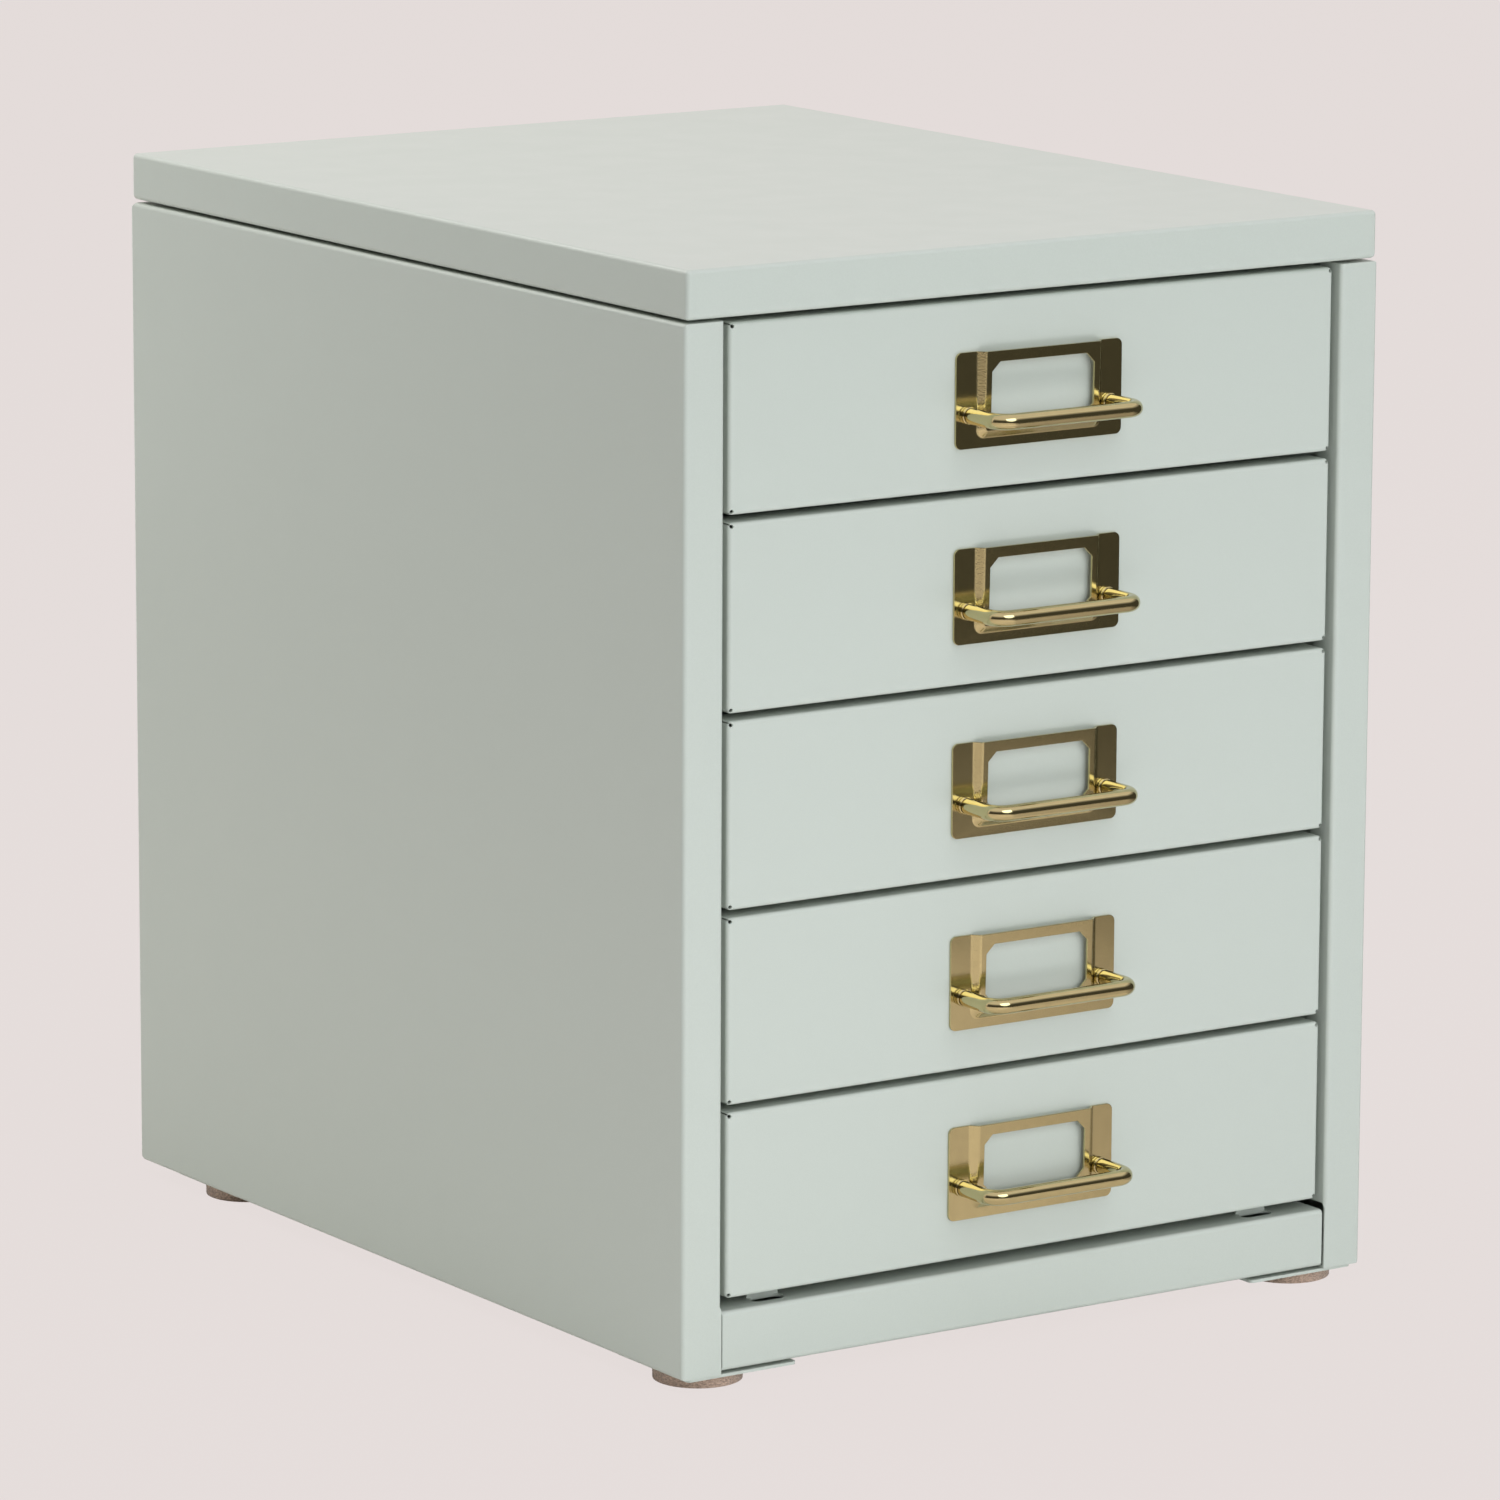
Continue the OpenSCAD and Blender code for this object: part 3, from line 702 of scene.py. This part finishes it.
def model_lid(sizes):
    """A folded tray turned over, with a hem turned in all round."""
    low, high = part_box("lid")
    piece = add_box("lid_shell", low, high)
    choose("FACE", at(z=low.z))
    bpy.ops.mesh.inset(thickness=sizes.lid_hem)
    bpy.ops.mesh.delete(type="FACE")

    def outer(edge):
        ends = [("x", low.x), ("x", high.x), ("y", low.y), ("y", high.y), ("z", low.z), ("z", high.z)]
        return sum(at(**{axis: end})(edge) for axis, end in ends) == 2

    round_edges(outer, sizes.fold_radius, sizes.fold_steps)
    end_edit()
    thicken(piece, sizes.sheet)
    return piece


def slot_cutter(centre, sizes):
    """A round-ended cutter, deeper than the sheet: a cylinder with its right half drawn out along X."""
    stretch = sizes.slot_length - sizes.slot_width
    left = centre - Vector((stretch / 2, 0, 0))
    cutter = add_round("slot", left, sizes.slot_width / 2, 4 * sizes.sheet, sizes.slot_sides)
    choose("VERT", lambda corner: corner.co.x > centre.x - stretch / 2 - NEAR)
    bpy.ops.transform.translate(value=(stretch, 0, 0))
    end_edit()
    return cutter


def slot_lip(centre, rise, sizes):
    """A lip with rounded corners, which stands behind a slot."""
    low = centre + Vector((-sizes.slot_length / 2, sizes.slot_width / 2, -sizes.sheet))
    high = low + Vector((sizes.slot_length, sizes.sheet, rise + sizes.sheet))
    lip = add_box("lip", low, high)
    round_edges(lambda edge: at(z=high.z, x=low.x)(edge) or at(z=high.z, x=high.x)(edge),
                sizes.lip_radius, sizes.lip_steps)
    end_edit()
    return lip


def model_plinth(sizes):
    """A channel between the stiles, with two slots and a lip turned up behind each."""
    low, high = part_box("front_plinth")
    end = -(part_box("left_side_panel")[1].x + sizes.plinth_end_gap)
    top = low.z + sizes.plinth_height
    low_in, high_in = Vector((-end, low.y, low.z)), Vector((end, high.y, top))
    piece = add_box("plinth_rail", low_in, high_in)
    choose("FACE", lambda face: at(y=high.y)(face) or at(x=end)(face) or at(x=-end)(face))
    bpy.ops.mesh.delete(type="FACE")
    round_edges(lambda edge: at(y=low.y, z=top)(edge) or at(y=low.y, z=low.z)(edge),
                sizes.fold_radius, sizes.fold_steps)
    for side in (-1, 1):
        choose("EDGE", at(x=side * end, z=low.z))
        extrude(side * (high.x - end), 0, 0)
    end_edit()
    thicken(piece, sizes.sheet)
    lips = []
    for side in (-1, 1):
        centre = Vector((side * sizes.slot_pitch / 2, low.y + sizes.slot_setback, top))
        carve(piece, slot_cutter(centre, sizes))
        lips.append(slot_lip(centre, high.z - top, sizes))
    join(piece, *lips)
    return piece


def relief_cutter(centre, sizes):
    """A round cutter along Y, deeper than the front's sheet."""
    cutter = add_round(
        "hole", centre, sizes.relief_radius, 6 * sizes.sheet, sizes.relief_sides, (math.pi / 2, 0, 0)
    )
    end_edit()
    return cutter


def slit_cutter(centre, back, side, end, sizes):
    """A cutter for the slit between two returns, from behind the face's sheet out to the corner."""
    low = Vector((0, centre.y + sizes.sheet, -sizes.relief_slit / 2))
    high = Vector((2 * sizes.relief_inset, back, sizes.relief_slit / 2))
    cutter = add_box("slit", low, high)
    end_edit()
    turn = Matrix.Rotation(-math.atan2(end, side), 4, "Y")
    cutter.data.transform(Matrix.Translation((centre.x, 0, centre.z)) @ turn)
    return cutter


def model_drawer_front(sizes):
    """A pan folded on all four edges, lips behind, relief holes where the folds meet."""
    low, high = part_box("drawer_1_front")
    piece = add_box("drawer_1_face", low, high)
    lip_levels = (low.z + sizes.low_lip, high.z - sizes.high_lip)
    for level in lip_levels:
        choose("FACE", at(y=high.y))
        split("z", level)
    choose("FACE", lambda face: at(y=high.y)(face) and lip_levels[0] < middle(face).z < lip_levels[1])
    bpy.ops.mesh.delete(type="FACE")
    round_edges(along_y(low, high), sizes.corner_radius, sizes.fold_steps)
    round_edges(at(y=low.y), sizes.fold_radius, sizes.fold_steps)
    end_edit()
    thicken(piece, sizes.sheet)
    for x, side in ((low.x, -1), (high.x, 1)):
        for z, end in ((low.z, -1), (high.z, 1)):
            centre = Vector((x - side * sizes.relief_inset, low.y, z - end * sizes.relief_inset))
            hole = relief_cutter(centre, sizes)
            carve(piece, hole, slit_cutter(centre, high.y + sizes.sheet, side, end, sizes))
    return piece


def pocket_places(sizes):
    """The foot of the pocket's steps along X, Y and Z, and a level above the plate's upper edge."""
    low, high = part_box("drawer_1_label_plate")
    beyond = high.z + 2 * sizes.pocket_slope
    return high.x - sizes.pocket_side, high.y - sizes.plate, low.z + sizes.pocket_foot, beyond


def press_pocket(sizes):
    """The plate's pocket: its sloped steps and its face, which leans out towards the open top."""
    foot_x, face_y, foot_z, beyond = pocket_places(sizes)
    centre = Vector((0, face_y, (foot_z + beyond) / 2))
    bpy.ops.mesh.primitive_plane_add(size=1, location=centre, rotation=(math.pi / 2, 0, 0))
    piece = start_piece("drawer_1_frame_plate")
    bpy.ops.transform.resize(value=(2 * foot_x, 1, beyond - foot_z), center_override=centre)
    round_corners(at(z=foot_z), sizes.pocket_radius, sizes.corner_steps)
    choose("FACE", at(y=face_y))
    bpy.ops.mesh.inset(thickness=sizes.pocket_slope)
    bpy.ops.transform.translate(value=(0, -sizes.pocket_rise, 0))
    sill = Vector((0, face_y - sizes.pocket_rise, foot_z + sizes.pocket_slope))
    bpy.ops.transform.rotate(value=-sizes.pocket_lean, orient_axis="X", center_override=sill)
    return piece


def draw_out_rim(piece, sizes):
    """The flat rim: the pocket's foot drawn out to the plate's edges, with corners of their own."""
    low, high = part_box("drawer_1_label_plate")
    foot_x, face_y, foot_z, beyond = pocket_places(sizes)
    choose("EDGE", lambda edge: edge.is_boundary and not at(z=beyond)(edge))
    extrude(0, 0, 0)
    rim = [corner.index for corner in bmesh.from_edit_mesh(piece.data).verts if corner.select]
    for side in (-1, 1):
        turn = Vector((side * (foot_x - sizes.pocket_radius), face_y, foot_z + sizes.pocket_radius))
        choose("VERT", lambda corner: corner.index in rim and side * corner.co.x > side * turn.x - NEAR
               and corner.co.z < turn.z + NEAR)
        scale = sizes.plate_radius / sizes.pocket_radius
        bpy.ops.transform.resize(value=(scale, 1, scale), center_override=turn)
        corner_turn = Vector((side * (high.x - sizes.plate_radius), face_y, low.z + sizes.plate_radius))
        bpy.ops.transform.translate(value=corner_turn - turn)
        choose("VERT", lambda corner: corner.index in rim and at(x=side * foot_x, z=beyond)(corner))
        bpy.ops.transform.translate(value=(side * (high.x - foot_x), 0, 0))
    trim((0, 0, high.z), (0, 0, 1))
    round_corners(lambda corner: at(x=high.x, z=high.z)(corner) or at(x=-high.x, z=high.z)(corner),
                  sizes.plate_radius, sizes.corner_steps)


def window_cutter(sizes):
    """A box with clipped corners, through the plate and its pocket."""
    low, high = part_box("drawer_1_label_plate")
    foot_x, _, foot_z, _ = pocket_places(sizes)
    side_x = foot_x - sizes.window_side
    near = Vector((-side_x, low.y - sizes.plate, foot_z + sizes.window_sill))
    far = Vector((side_x, high.y + sizes.plate, high.z - sizes.window_head))
    cutter = add_box("window", near, far)
    round_edges(along_y(near, far), sizes.window_clip, 1)
    end_edit()
    return cutter


def model_label_plate(sizes):
    """A stamped frame: flat rim, raised pocket open at the top, window with clipped corners."""
    piece = press_pocket(sizes)
    draw_out_rim(piece, sizes)
    round_edges(lambda edge: len(edge.link_faces) == 2 and edge.calc_face_angle() > sizes.press_turn,
                sizes.press_radius, sizes.press_steps)
    end_edit()
    thicken(piece, sizes.plate)
    carve(piece, window_cutter(sizes))
    return piece


def lengthen(piece, forward, diameter):
    """Extrudes the bar's end forward and gives it another diameter."""
    extrude(0, -forward, 0)
    rim = [corner.co for corner in bmesh.from_edit_mesh(piece.data).verts if corner.select]
    centre = sum(rim, Vector()) / len(rim)
    scale = diameter / 2 / (rim[0] - centre).length
    bpy.ops.transform.resize(value=(scale, 1, scale), center_override=centre)


def model_pull_bar(sizes):
    """A bent rod: stud, collar, groove and arm at each end, modelled by halves."""
    low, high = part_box("drawer_1_pull_bar")
    plate_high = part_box("drawer_1_label_plate")[1]
    post = Vector((plate_high.x - sizes.post_inset, high.y, (low.z + high.z) / 2))
    plate_face = plate_high.y - sizes.plate
    bend_y = low.y + sizes.bar / 2 + sizes.bend_radius
    bpy.ops.mesh.primitive_circle_add(
        vertices=sizes.bar_sides, radius=sizes.stud / 2, fill_type="NGON",
        location=post, rotation=(math.pi / 2, 0, 0),
    )
    piece = start_piece("drawer_1_bar")
    choose("FACE", every)
    chamfer = sizes.chamfer
    arm = plate_face - sizes.collar_length - sizes.groove_length - chamfer - bend_y
    for forward, diameter in (
        (post.y - plate_face, sizes.stud),
        (0, sizes.collar - 2 * chamfer),
        (chamfer, sizes.collar),
        (sizes.collar_length - 2 * chamfer, sizes.collar),
        (chamfer, sizes.collar - 2 * chamfer),
        (0, sizes.groove),
        (sizes.groove_length, sizes.groove),
        (0, sizes.bar - 2 * chamfer),
        (chamfer, sizes.bar),
        (arm, sizes.bar),
    ):
        lengthen(piece, forward, diameter)
    bpy.ops.mesh.spin(
        steps=sizes.bend_steps, angle=math.pi / 2, axis=(0, 0, 1),
        center=(post.x - sizes.bend_radius, bend_y, post.z),
    )
    extrude(-(post.x - sizes.bend_radius), 0, 0)
    bpy.ops.mesh.delete(type="FACE")
    bpy.ops.mesh.select_all(action="SELECT")
    bpy.ops.mesh.remove_doubles(threshold=NEAR)
    end_edit()
    modify(piece, "MIRROR", use_axis=(True, False, False), use_clip=True, merge_threshold=NEAR)
    start_edit()
    bpy.ops.mesh.select_all(action="SELECT")
    bpy.ops.mesh.normals_make_consistent(inside=False)
    end_edit()
    return piece


def model_felt_pad(sizes):
    """A pressed felt disc with a soft rim and tufts standing out of its wall."""
    low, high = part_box("front_left_felt_pad")
    centre = (low + high) / 2
    radius = (high.x - low.x) / 2
    piece = add_round("front_left_felt_disc", centre, radius, high.z - low.z, sizes.sides)
    for level in range(1, sizes.layers):
        choose("FACE", lambda face: not (at(z=low.z)(face) or at(z=high.z)(face)))
        split("z", low.z + (high.z - low.z) * level / sizes.layers)
    round_edges(lambda edge: at(z=low.z)(edge) or at(z=high.z)(edge), sizes.rim_radius, sizes.rim_steps)
    end_edit()
    wall = piece.vertex_groups.new(name="wall")
    wall_low, wall_high = low.z + sizes.wall_inset, high.z - sizes.wall_inset
    on_wall = [corner.index for corner in piece.data.vertices if wall_low < corner.co.z < wall_high]
    wall.add(on_wall, 1.0, "REPLACE")
    tufts = bpy.data.textures.new("felt_tufts", "CLOUDS")
    tufts.noise_scale = sizes.tuft
    tufts.noise_depth = sizes.tuft_detail
    modify(piece, "DISPLACE", texture=tufts, strength=sizes.tuft_depth, mid_level=sizes.tuft_sink,
           texture_coords="LOCAL", vertex_group="wall")
    piece.vertex_groups.clear()
    return piece


def repeat_on_drawers(first, suffix, slot, node, look=None):
    """Copies a piece of the first drawer to the others and mounts all of them."""
    first_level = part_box(f"{DRAWERS[0]}_front")[0].z
    for body in DRAWERS:
        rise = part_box(f"{body}_front")[0].z - first_level
        piece = first if body == DRAWERS[0] else copy_to(first, f"{body}_{suffix}", (0, 0, rise))
        mount(piece, body, slot, f"{body}_{node}", look=look)


# ---- Operators ----

class CABINET_OT_side_panels(bpy.types.Operator):
    """Fold the two side panels"""

    bl_idname = "cabinet.side_panels"
    bl_label = "Side panels"

    def execute(self, context):
        sizes = context.scene.cabinet_sheet
        left = model_side_panel(sizes)
        right = copy_mirrored(left, "right_side_shell")
        for side, piece in (("left", left), ("right", right)):
            finish_sheet(piece, sizes.burr)
            mount(piece, "cabinet", "cabinet_paint", f"{side}_side_panel")
        return {"FINISHED"}


class CABINET_OT_lid(bpy.types.Operator):
    """Fold the lid"""

    bl_idname = "cabinet.lid"
    bl_label = "Lid"

    def execute(self, context):
        sizes = context.scene.cabinet_sheet
        piece = model_lid(sizes)
        finish_sheet(piece, sizes.burr)
        mount(piece, "cabinet", "cabinet_paint", "lid")
        return {"FINISHED"}


class CABINET_OT_plinth(bpy.types.Operator):
    """Fold the plinth rail with its two slots"""

    bl_idname = "cabinet.plinth"
    bl_label = "Plinth rail"

    def execute(self, context):
        sizes = context.scene.cabinet_sheet
        piece = model_plinth(sizes)
        finish_sheet(piece, sizes.burr)
        mount(piece, "cabinet", "cabinet_paint", "front_plinth")
        return {"FINISHED"}


class CABINET_OT_drawer_fronts(bpy.types.Operator):
    """Fold the drawer fronts"""

    bl_idname = "cabinet.drawer_fronts"
    bl_label = "Drawer fronts"

    def execute(self, context):
        sizes = context.scene.drawer_sheet
        piece = model_drawer_front(sizes)
        finish_sheet(piece, sizes.burr)
        repeat_on_drawers(piece, "face", "drawer_paint", "front")
        return {"FINISHED"}


class CABINET_OT_label_plates(bpy.types.Operator):
    """Stamp the label plates"""

    bl_idname = "cabinet.label_plates"
    bl_label = "Label plates"

    def execute(self, context):
        sizes = context.scene.pull_sizes
        piece = model_label_plate(sizes)
        finish_sheet(piece, sizes.burr)
        repeat_on_drawers(piece, "frame_plate", "brass", "label_plate", look="stamped_brass")
        return {"FINISHED"}


class CABINET_OT_pull_bars(bpy.types.Operator):
    """Bend the pull bars"""

    bl_idname = "cabinet.pull_bars"
    bl_label = "Pull bars"

    def execute(self, context):
        piece = model_pull_bar(context.scene.pull_sizes)
        shade(piece)
        repeat_on_drawers(piece, "bar", "brass", "pull_bar")
        return {"FINISHED"}


class CABINET_OT_felt_pads(bpy.types.Operator):
    """Punch the four felt pads"""

    bl_idname = "cabinet.felt_pads"
    bl_label = "Felt pads"

    def execute(self, context):
        first = model_felt_pad(context.scene.felt_sizes)
        shade(first)
        first_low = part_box(f"{CORNERS[0]}_felt_pad")[0]
        for corner in CORNERS:
            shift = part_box(f"{corner}_felt_pad")[0] - first_low
            piece = first if corner == CORNERS[0] else copy_to(first, f"{corner}_felt_disc", shift)
            mount(piece, "cabinet", "felt", f"{corner}_felt_pad")
        return {"FINISHED"}


class CABINET_OT_finish_frame(bpy.types.Operator):
    """Give each piece of the frame that stays its finish"""

    bl_idname = "cabinet.finish_frame"
    bl_label = "Finish the frame"

    def execute(self, context):
        for part in frame["record"]["subparts"]:
            node = frame["nodes"][part["node"]]
            if not node.hide_render:
                node.data.materials.clear()
                node.data.materials.append(finish(part["material_slot"]))
        return {"FINISHED"}


class CABINET_OT_studio(bpy.types.Operator):
    """Set up the floor, the lights and the camera"""

    bl_idname = "cabinet.studio"
    bl_label = "Studio"

    def execute(self, context):
        values = context.scene.studio
        add_camera(values)
        add_floor(values)
        add_dark_cove(values)
        add_sky(values)
        for name, place, size, hue, mirrored in SOFTBOXES:
            add_softbox(name, place, size, hue, mirrored, getattr(values, f"{name}_watts"))
        context.scene.view_settings.view_transform = "Standard"
        return {"FINISHED"}


# ---- Studio ----

# Softboxes: name, place, width and height in metres, colour, and whether gloss mirrors them
SOFTBOXES = [
    ("front", (0.0, -2.75, 1.42), (2.3, 2.8), (0.94, 1.0, 1.05), True),
    ("low", (0.0, -0.65, 0.06), (0.9, 0.1), (1.0, 1.0, 1.05), False),
    ("top", (0.0, -0.3, 2.3), (1.6, 1.6), (1.05, 1.0, 1.12), False),
    ("back", (-0.6, 1.1, 1.5), (0.9, 0.9), (1.0, 1.0, 0.95), True),
    ("side", (-0.35, 0.9, 0.35), (0.5, 0.5), (0.95, 1.0, 0.96), True),
    ("right", (1.5, 0.3, 0.17), (0.8, 0.36), (1.0, 1.0, 1.0), False),
]


def add_camera(values):
    """A camera that looks at the cabinet's front and left side."""
    camera = bpy.data.objects.new("camera", bpy.data.cameras.new("camera"))
    bpy.context.scene.collection.objects.link(camera)
    camera.data.lens = values.lens
    camera.matrix_world = (
        Matrix.Translation(values.camera_place)
        @ Matrix.Rotation(-values.heading, 4, "Z")
        @ Matrix.Rotation(math.pi / 2 - values.dip, 4, "X")
        @ Matrix.Rotation(values.roll, 4, "Z")
    )
    bpy.context.scene.camera = camera


def blank_tree(owner):
    """The emptied node tree of a material or a world."""
    owner.use_nodes = True
    owner.node_tree.nodes.clear()
    return owner.node_tree


def blend(tree, output, part, first, second):
    """Sends two shaders to the tree's output, the second one by its part of the whole."""
    mix = add_node(tree, "MixShader", Fac=part)
    feed(tree, mix.inputs[1], first)
    feed(tree, mix.inputs[2], second)
    add_node(tree, output, Surface=mix.outputs["Shader"])


def add_floor(values):
    """A pale floor that shows its own colour to the camera and keeps part of the shadow. Gloss sees it in
    a warmer tint, a painted reflection.
    """
    bpy.ops.mesh.primitive_plane_add(size=values.floor_width)
    floor = bpy.context.object
    floor.name = "floor"
    material = bpy.data.materials.new("floor")
    tree = blank_tree(material)
    path = add_node(tree, "LightPath").outputs
    grey = (values.bounce, values.bounce, values.bounce)
    # Gloss sees the floor in the warm paper tint and diffuse light sees it grey: a painted reflection on
    # the brass
    matt = add_node(tree, "BsdfDiffuse", Color=tint(tree, path["Is Glossy Ray"], grey, values.paper))
    glow = add_node(tree, "Emission", Color=(*values.backdrop, 1.0))
    seen = combine(tree, "MULTIPLY", path["Is Camera Ray"], values.glow)
    blend(tree, "OutputMaterial", seen, matt.outputs["BSDF"], glow.outputs["Emission"])
    floor.data.materials.append(material)


def add_dark_cove(values):
    """The unlit room round the front, which only gloss sees: a wall, and the floor beyond the paper."""
    centre = Vector((0, CAD_BOX[0][1], 0))
    bpy.ops.mesh.primitive_cylinder_add(
        vertices=values.cove_sides, radius=values.cove_radius, depth=values.cove_height,
        end_fill_type="NOTHING", location=centre + Vector((0, 0, values.cove_height / 2)),
    )
    cove = start_piece("dark_cove")

    def behind(face):
        way = middle(face) - centre
        return not values.cove_left < math.atan2(way.x, -way.y) < values.cove_right

    choose("FACE", behind)
    bpy.ops.mesh.delete(type="FACE")
    choose("EDGE", at(z=0))
    extrude(0, 0, 0)
    shrink = values.cove_foot / values.cove_radius
    bpy.ops.transform.resize(value=(shrink, shrink, 1), center_override=centre)
    bpy.ops.mesh.select_all(action="SELECT")
    bpy.ops.transform.translate(value=(0, 0, values.cove_lift))
    end_edit()
    cove.data.materials.append(cove_material(values))
    cove.visible_camera = cove.visible_diffuse = cove.visible_shadow = cove.visible_transmission = False


def cove_material(values):
    """Dark, and clear towards the paper's middle and the wall's upper edge: a dim glow that paints the
    unlit room into reflections.
    """
    material = bpy.data.materials.new("dark_cove")
    tree = blank_tree(material)
    place = object_place(tree)
    gap = combine(tree, "DISTANCE", place, values.paper_middle, kind="VectorMath")
    near = ramp(tree, gap, values.paper_end, values.paper_start)
    beyond = ramp(tree, combine(tree, "MULTIPLY", near, near), 1.0, 0.0)
    height = add_node(tree, "SeparateXYZ", Vector=place).outputs["Z"]
    below = ramp(tree, height, values.cove_height, values.cove_fade)
    clear = add_node(tree, "BsdfTransparent")
    # Dim glow that only gloss sees: the unlit room painted into reflections as shade
    dark = add_node(tree, "Emission", Color=(*values.cove_light, 1.0))
    filled = combine(tree, "MULTIPLY", beyond, below)
    blend(tree, "OutputMaterial", filled, clear.outputs["BSDF"], dark.outputs["Emission"])
    return material


def add_sky(values):
    """Even light, seen by the camera and by gloss as the plain backdrop."""
    world = bpy.data.worlds.new("sky")
    bpy.context.scene.world = world
    tree = blank_tree(world)
    path = add_node(tree, "LightPath").outputs
    strength = ramp(tree, path["Is Glossy Ray"], 0.0, 1.0, 1.0, values.gloss)
    even = add_node(tree, "Background", Color=(1.0, 1.0, 1.0, 1.0), Strength=values.sky)
    plain = add_node(tree, "Background", Color=(*values.backdrop, 1.0), Strength=strength)
    seen = combine(tree, "MAXIMUM", path["Is Camera Ray"], path["Is Glossy Ray"])
    seen = combine(tree, "MAXIMUM", seen, path["Is Transmission Ray"])
    blend(tree, "OutputWorld", seen, even.outputs["Background"], plain.outputs["Background"])


def add_softbox(name, place, size, hue, mirrored, power):
    """A softbox that looks at the middle of the cabinet."""
    light = bpy.data.lights.new(f"{name}_softbox", "AREA")
    light.color = hue
    light.shape = "RECTANGLE"
    light.size, light.size_y = size
    light.energy = power
    lamp = bpy.data.objects.new(f"{name}_softbox", light)
    bpy.context.scene.collection.objects.link(lamp)
    aim = Vector((0, 0, CAD_BOX[1][2] / 2)) - Vector(place)
    lamp.matrix_world = Matrix.Translation(place) @ aim.to_track_quat("-Z", "Y").to_matrix().to_4x4()
    lamp.visible_camera = False
    lamp.visible_glossy = mirrored


# ---- Panel and registration ----

PIECES = [
    CABINET_OT_side_panels, CABINET_OT_lid, CABINET_OT_plinth, CABINET_OT_drawer_fronts,
    CABINET_OT_label_plates, CABINET_OT_pull_bars, CABINET_OT_felt_pads, CABINET_OT_finish_frame,
    CABINET_OT_studio,
]
GROUPS = {
    "cabinet_sheet": CabinetSheet, "drawer_sheet": DrawerSheet, "pull_sizes": PullSizes,
    "felt_sizes": FeltSizes, "finishes": Finishes, "studio": Studio,
}


class VIEW3D_PT_cabinet(bpy.types.Panel):
    """Lists the pieces in the order in which they are made"""

    bl_idname = "VIEW3D_PT_cabinet"
    bl_label = "Drawer Cabinet"
    bl_space_type = "VIEW_3D"
    bl_region_type = "UI"
    bl_category = "Cabinet"

    def draw(self, context):
        for piece in PIECES:
            self.layout.operator(piece.bl_idname)
        for name, group in GROUPS.items():
            box = self.layout.box()
            box.label(text=group.__doc__)
            for value in group.__annotations__:
                box.prop(getattr(context.scene, name), value)


def register():
    for group in GROUPS.values():
        bpy.utils.register_class(group)
    for name, group in GROUPS.items():
        setattr(bpy.types.Scene, name, PointerProperty(type=group))
    for piece in PIECES:
        bpy.utils.register_class(piece)
    bpy.utils.register_class(VIEW3D_PT_cabinet)


def unregister():
    bpy.utils.unregister_class(VIEW3D_PT_cabinet)
    for piece in reversed(PIECES):
        bpy.utils.unregister_class(piece)
    for name, group in GROUPS.items():
        delattr(bpy.types.Scene, name)
        bpy.utils.unregister_class(group)


def main():
    register()
    bpy.ops.cabinet.side_panels()
    bpy.ops.cabinet.lid()
    bpy.ops.cabinet.plinth()
    bpy.ops.cabinet.drawer_fronts()
    bpy.ops.cabinet.label_plates()
    bpy.ops.cabinet.pull_bars()
    bpy.ops.cabinet.felt_pads()
    bpy.ops.cabinet.finish_frame()
    bpy.ops.cabinet.studio()


if __name__ == "__main__":
    main()
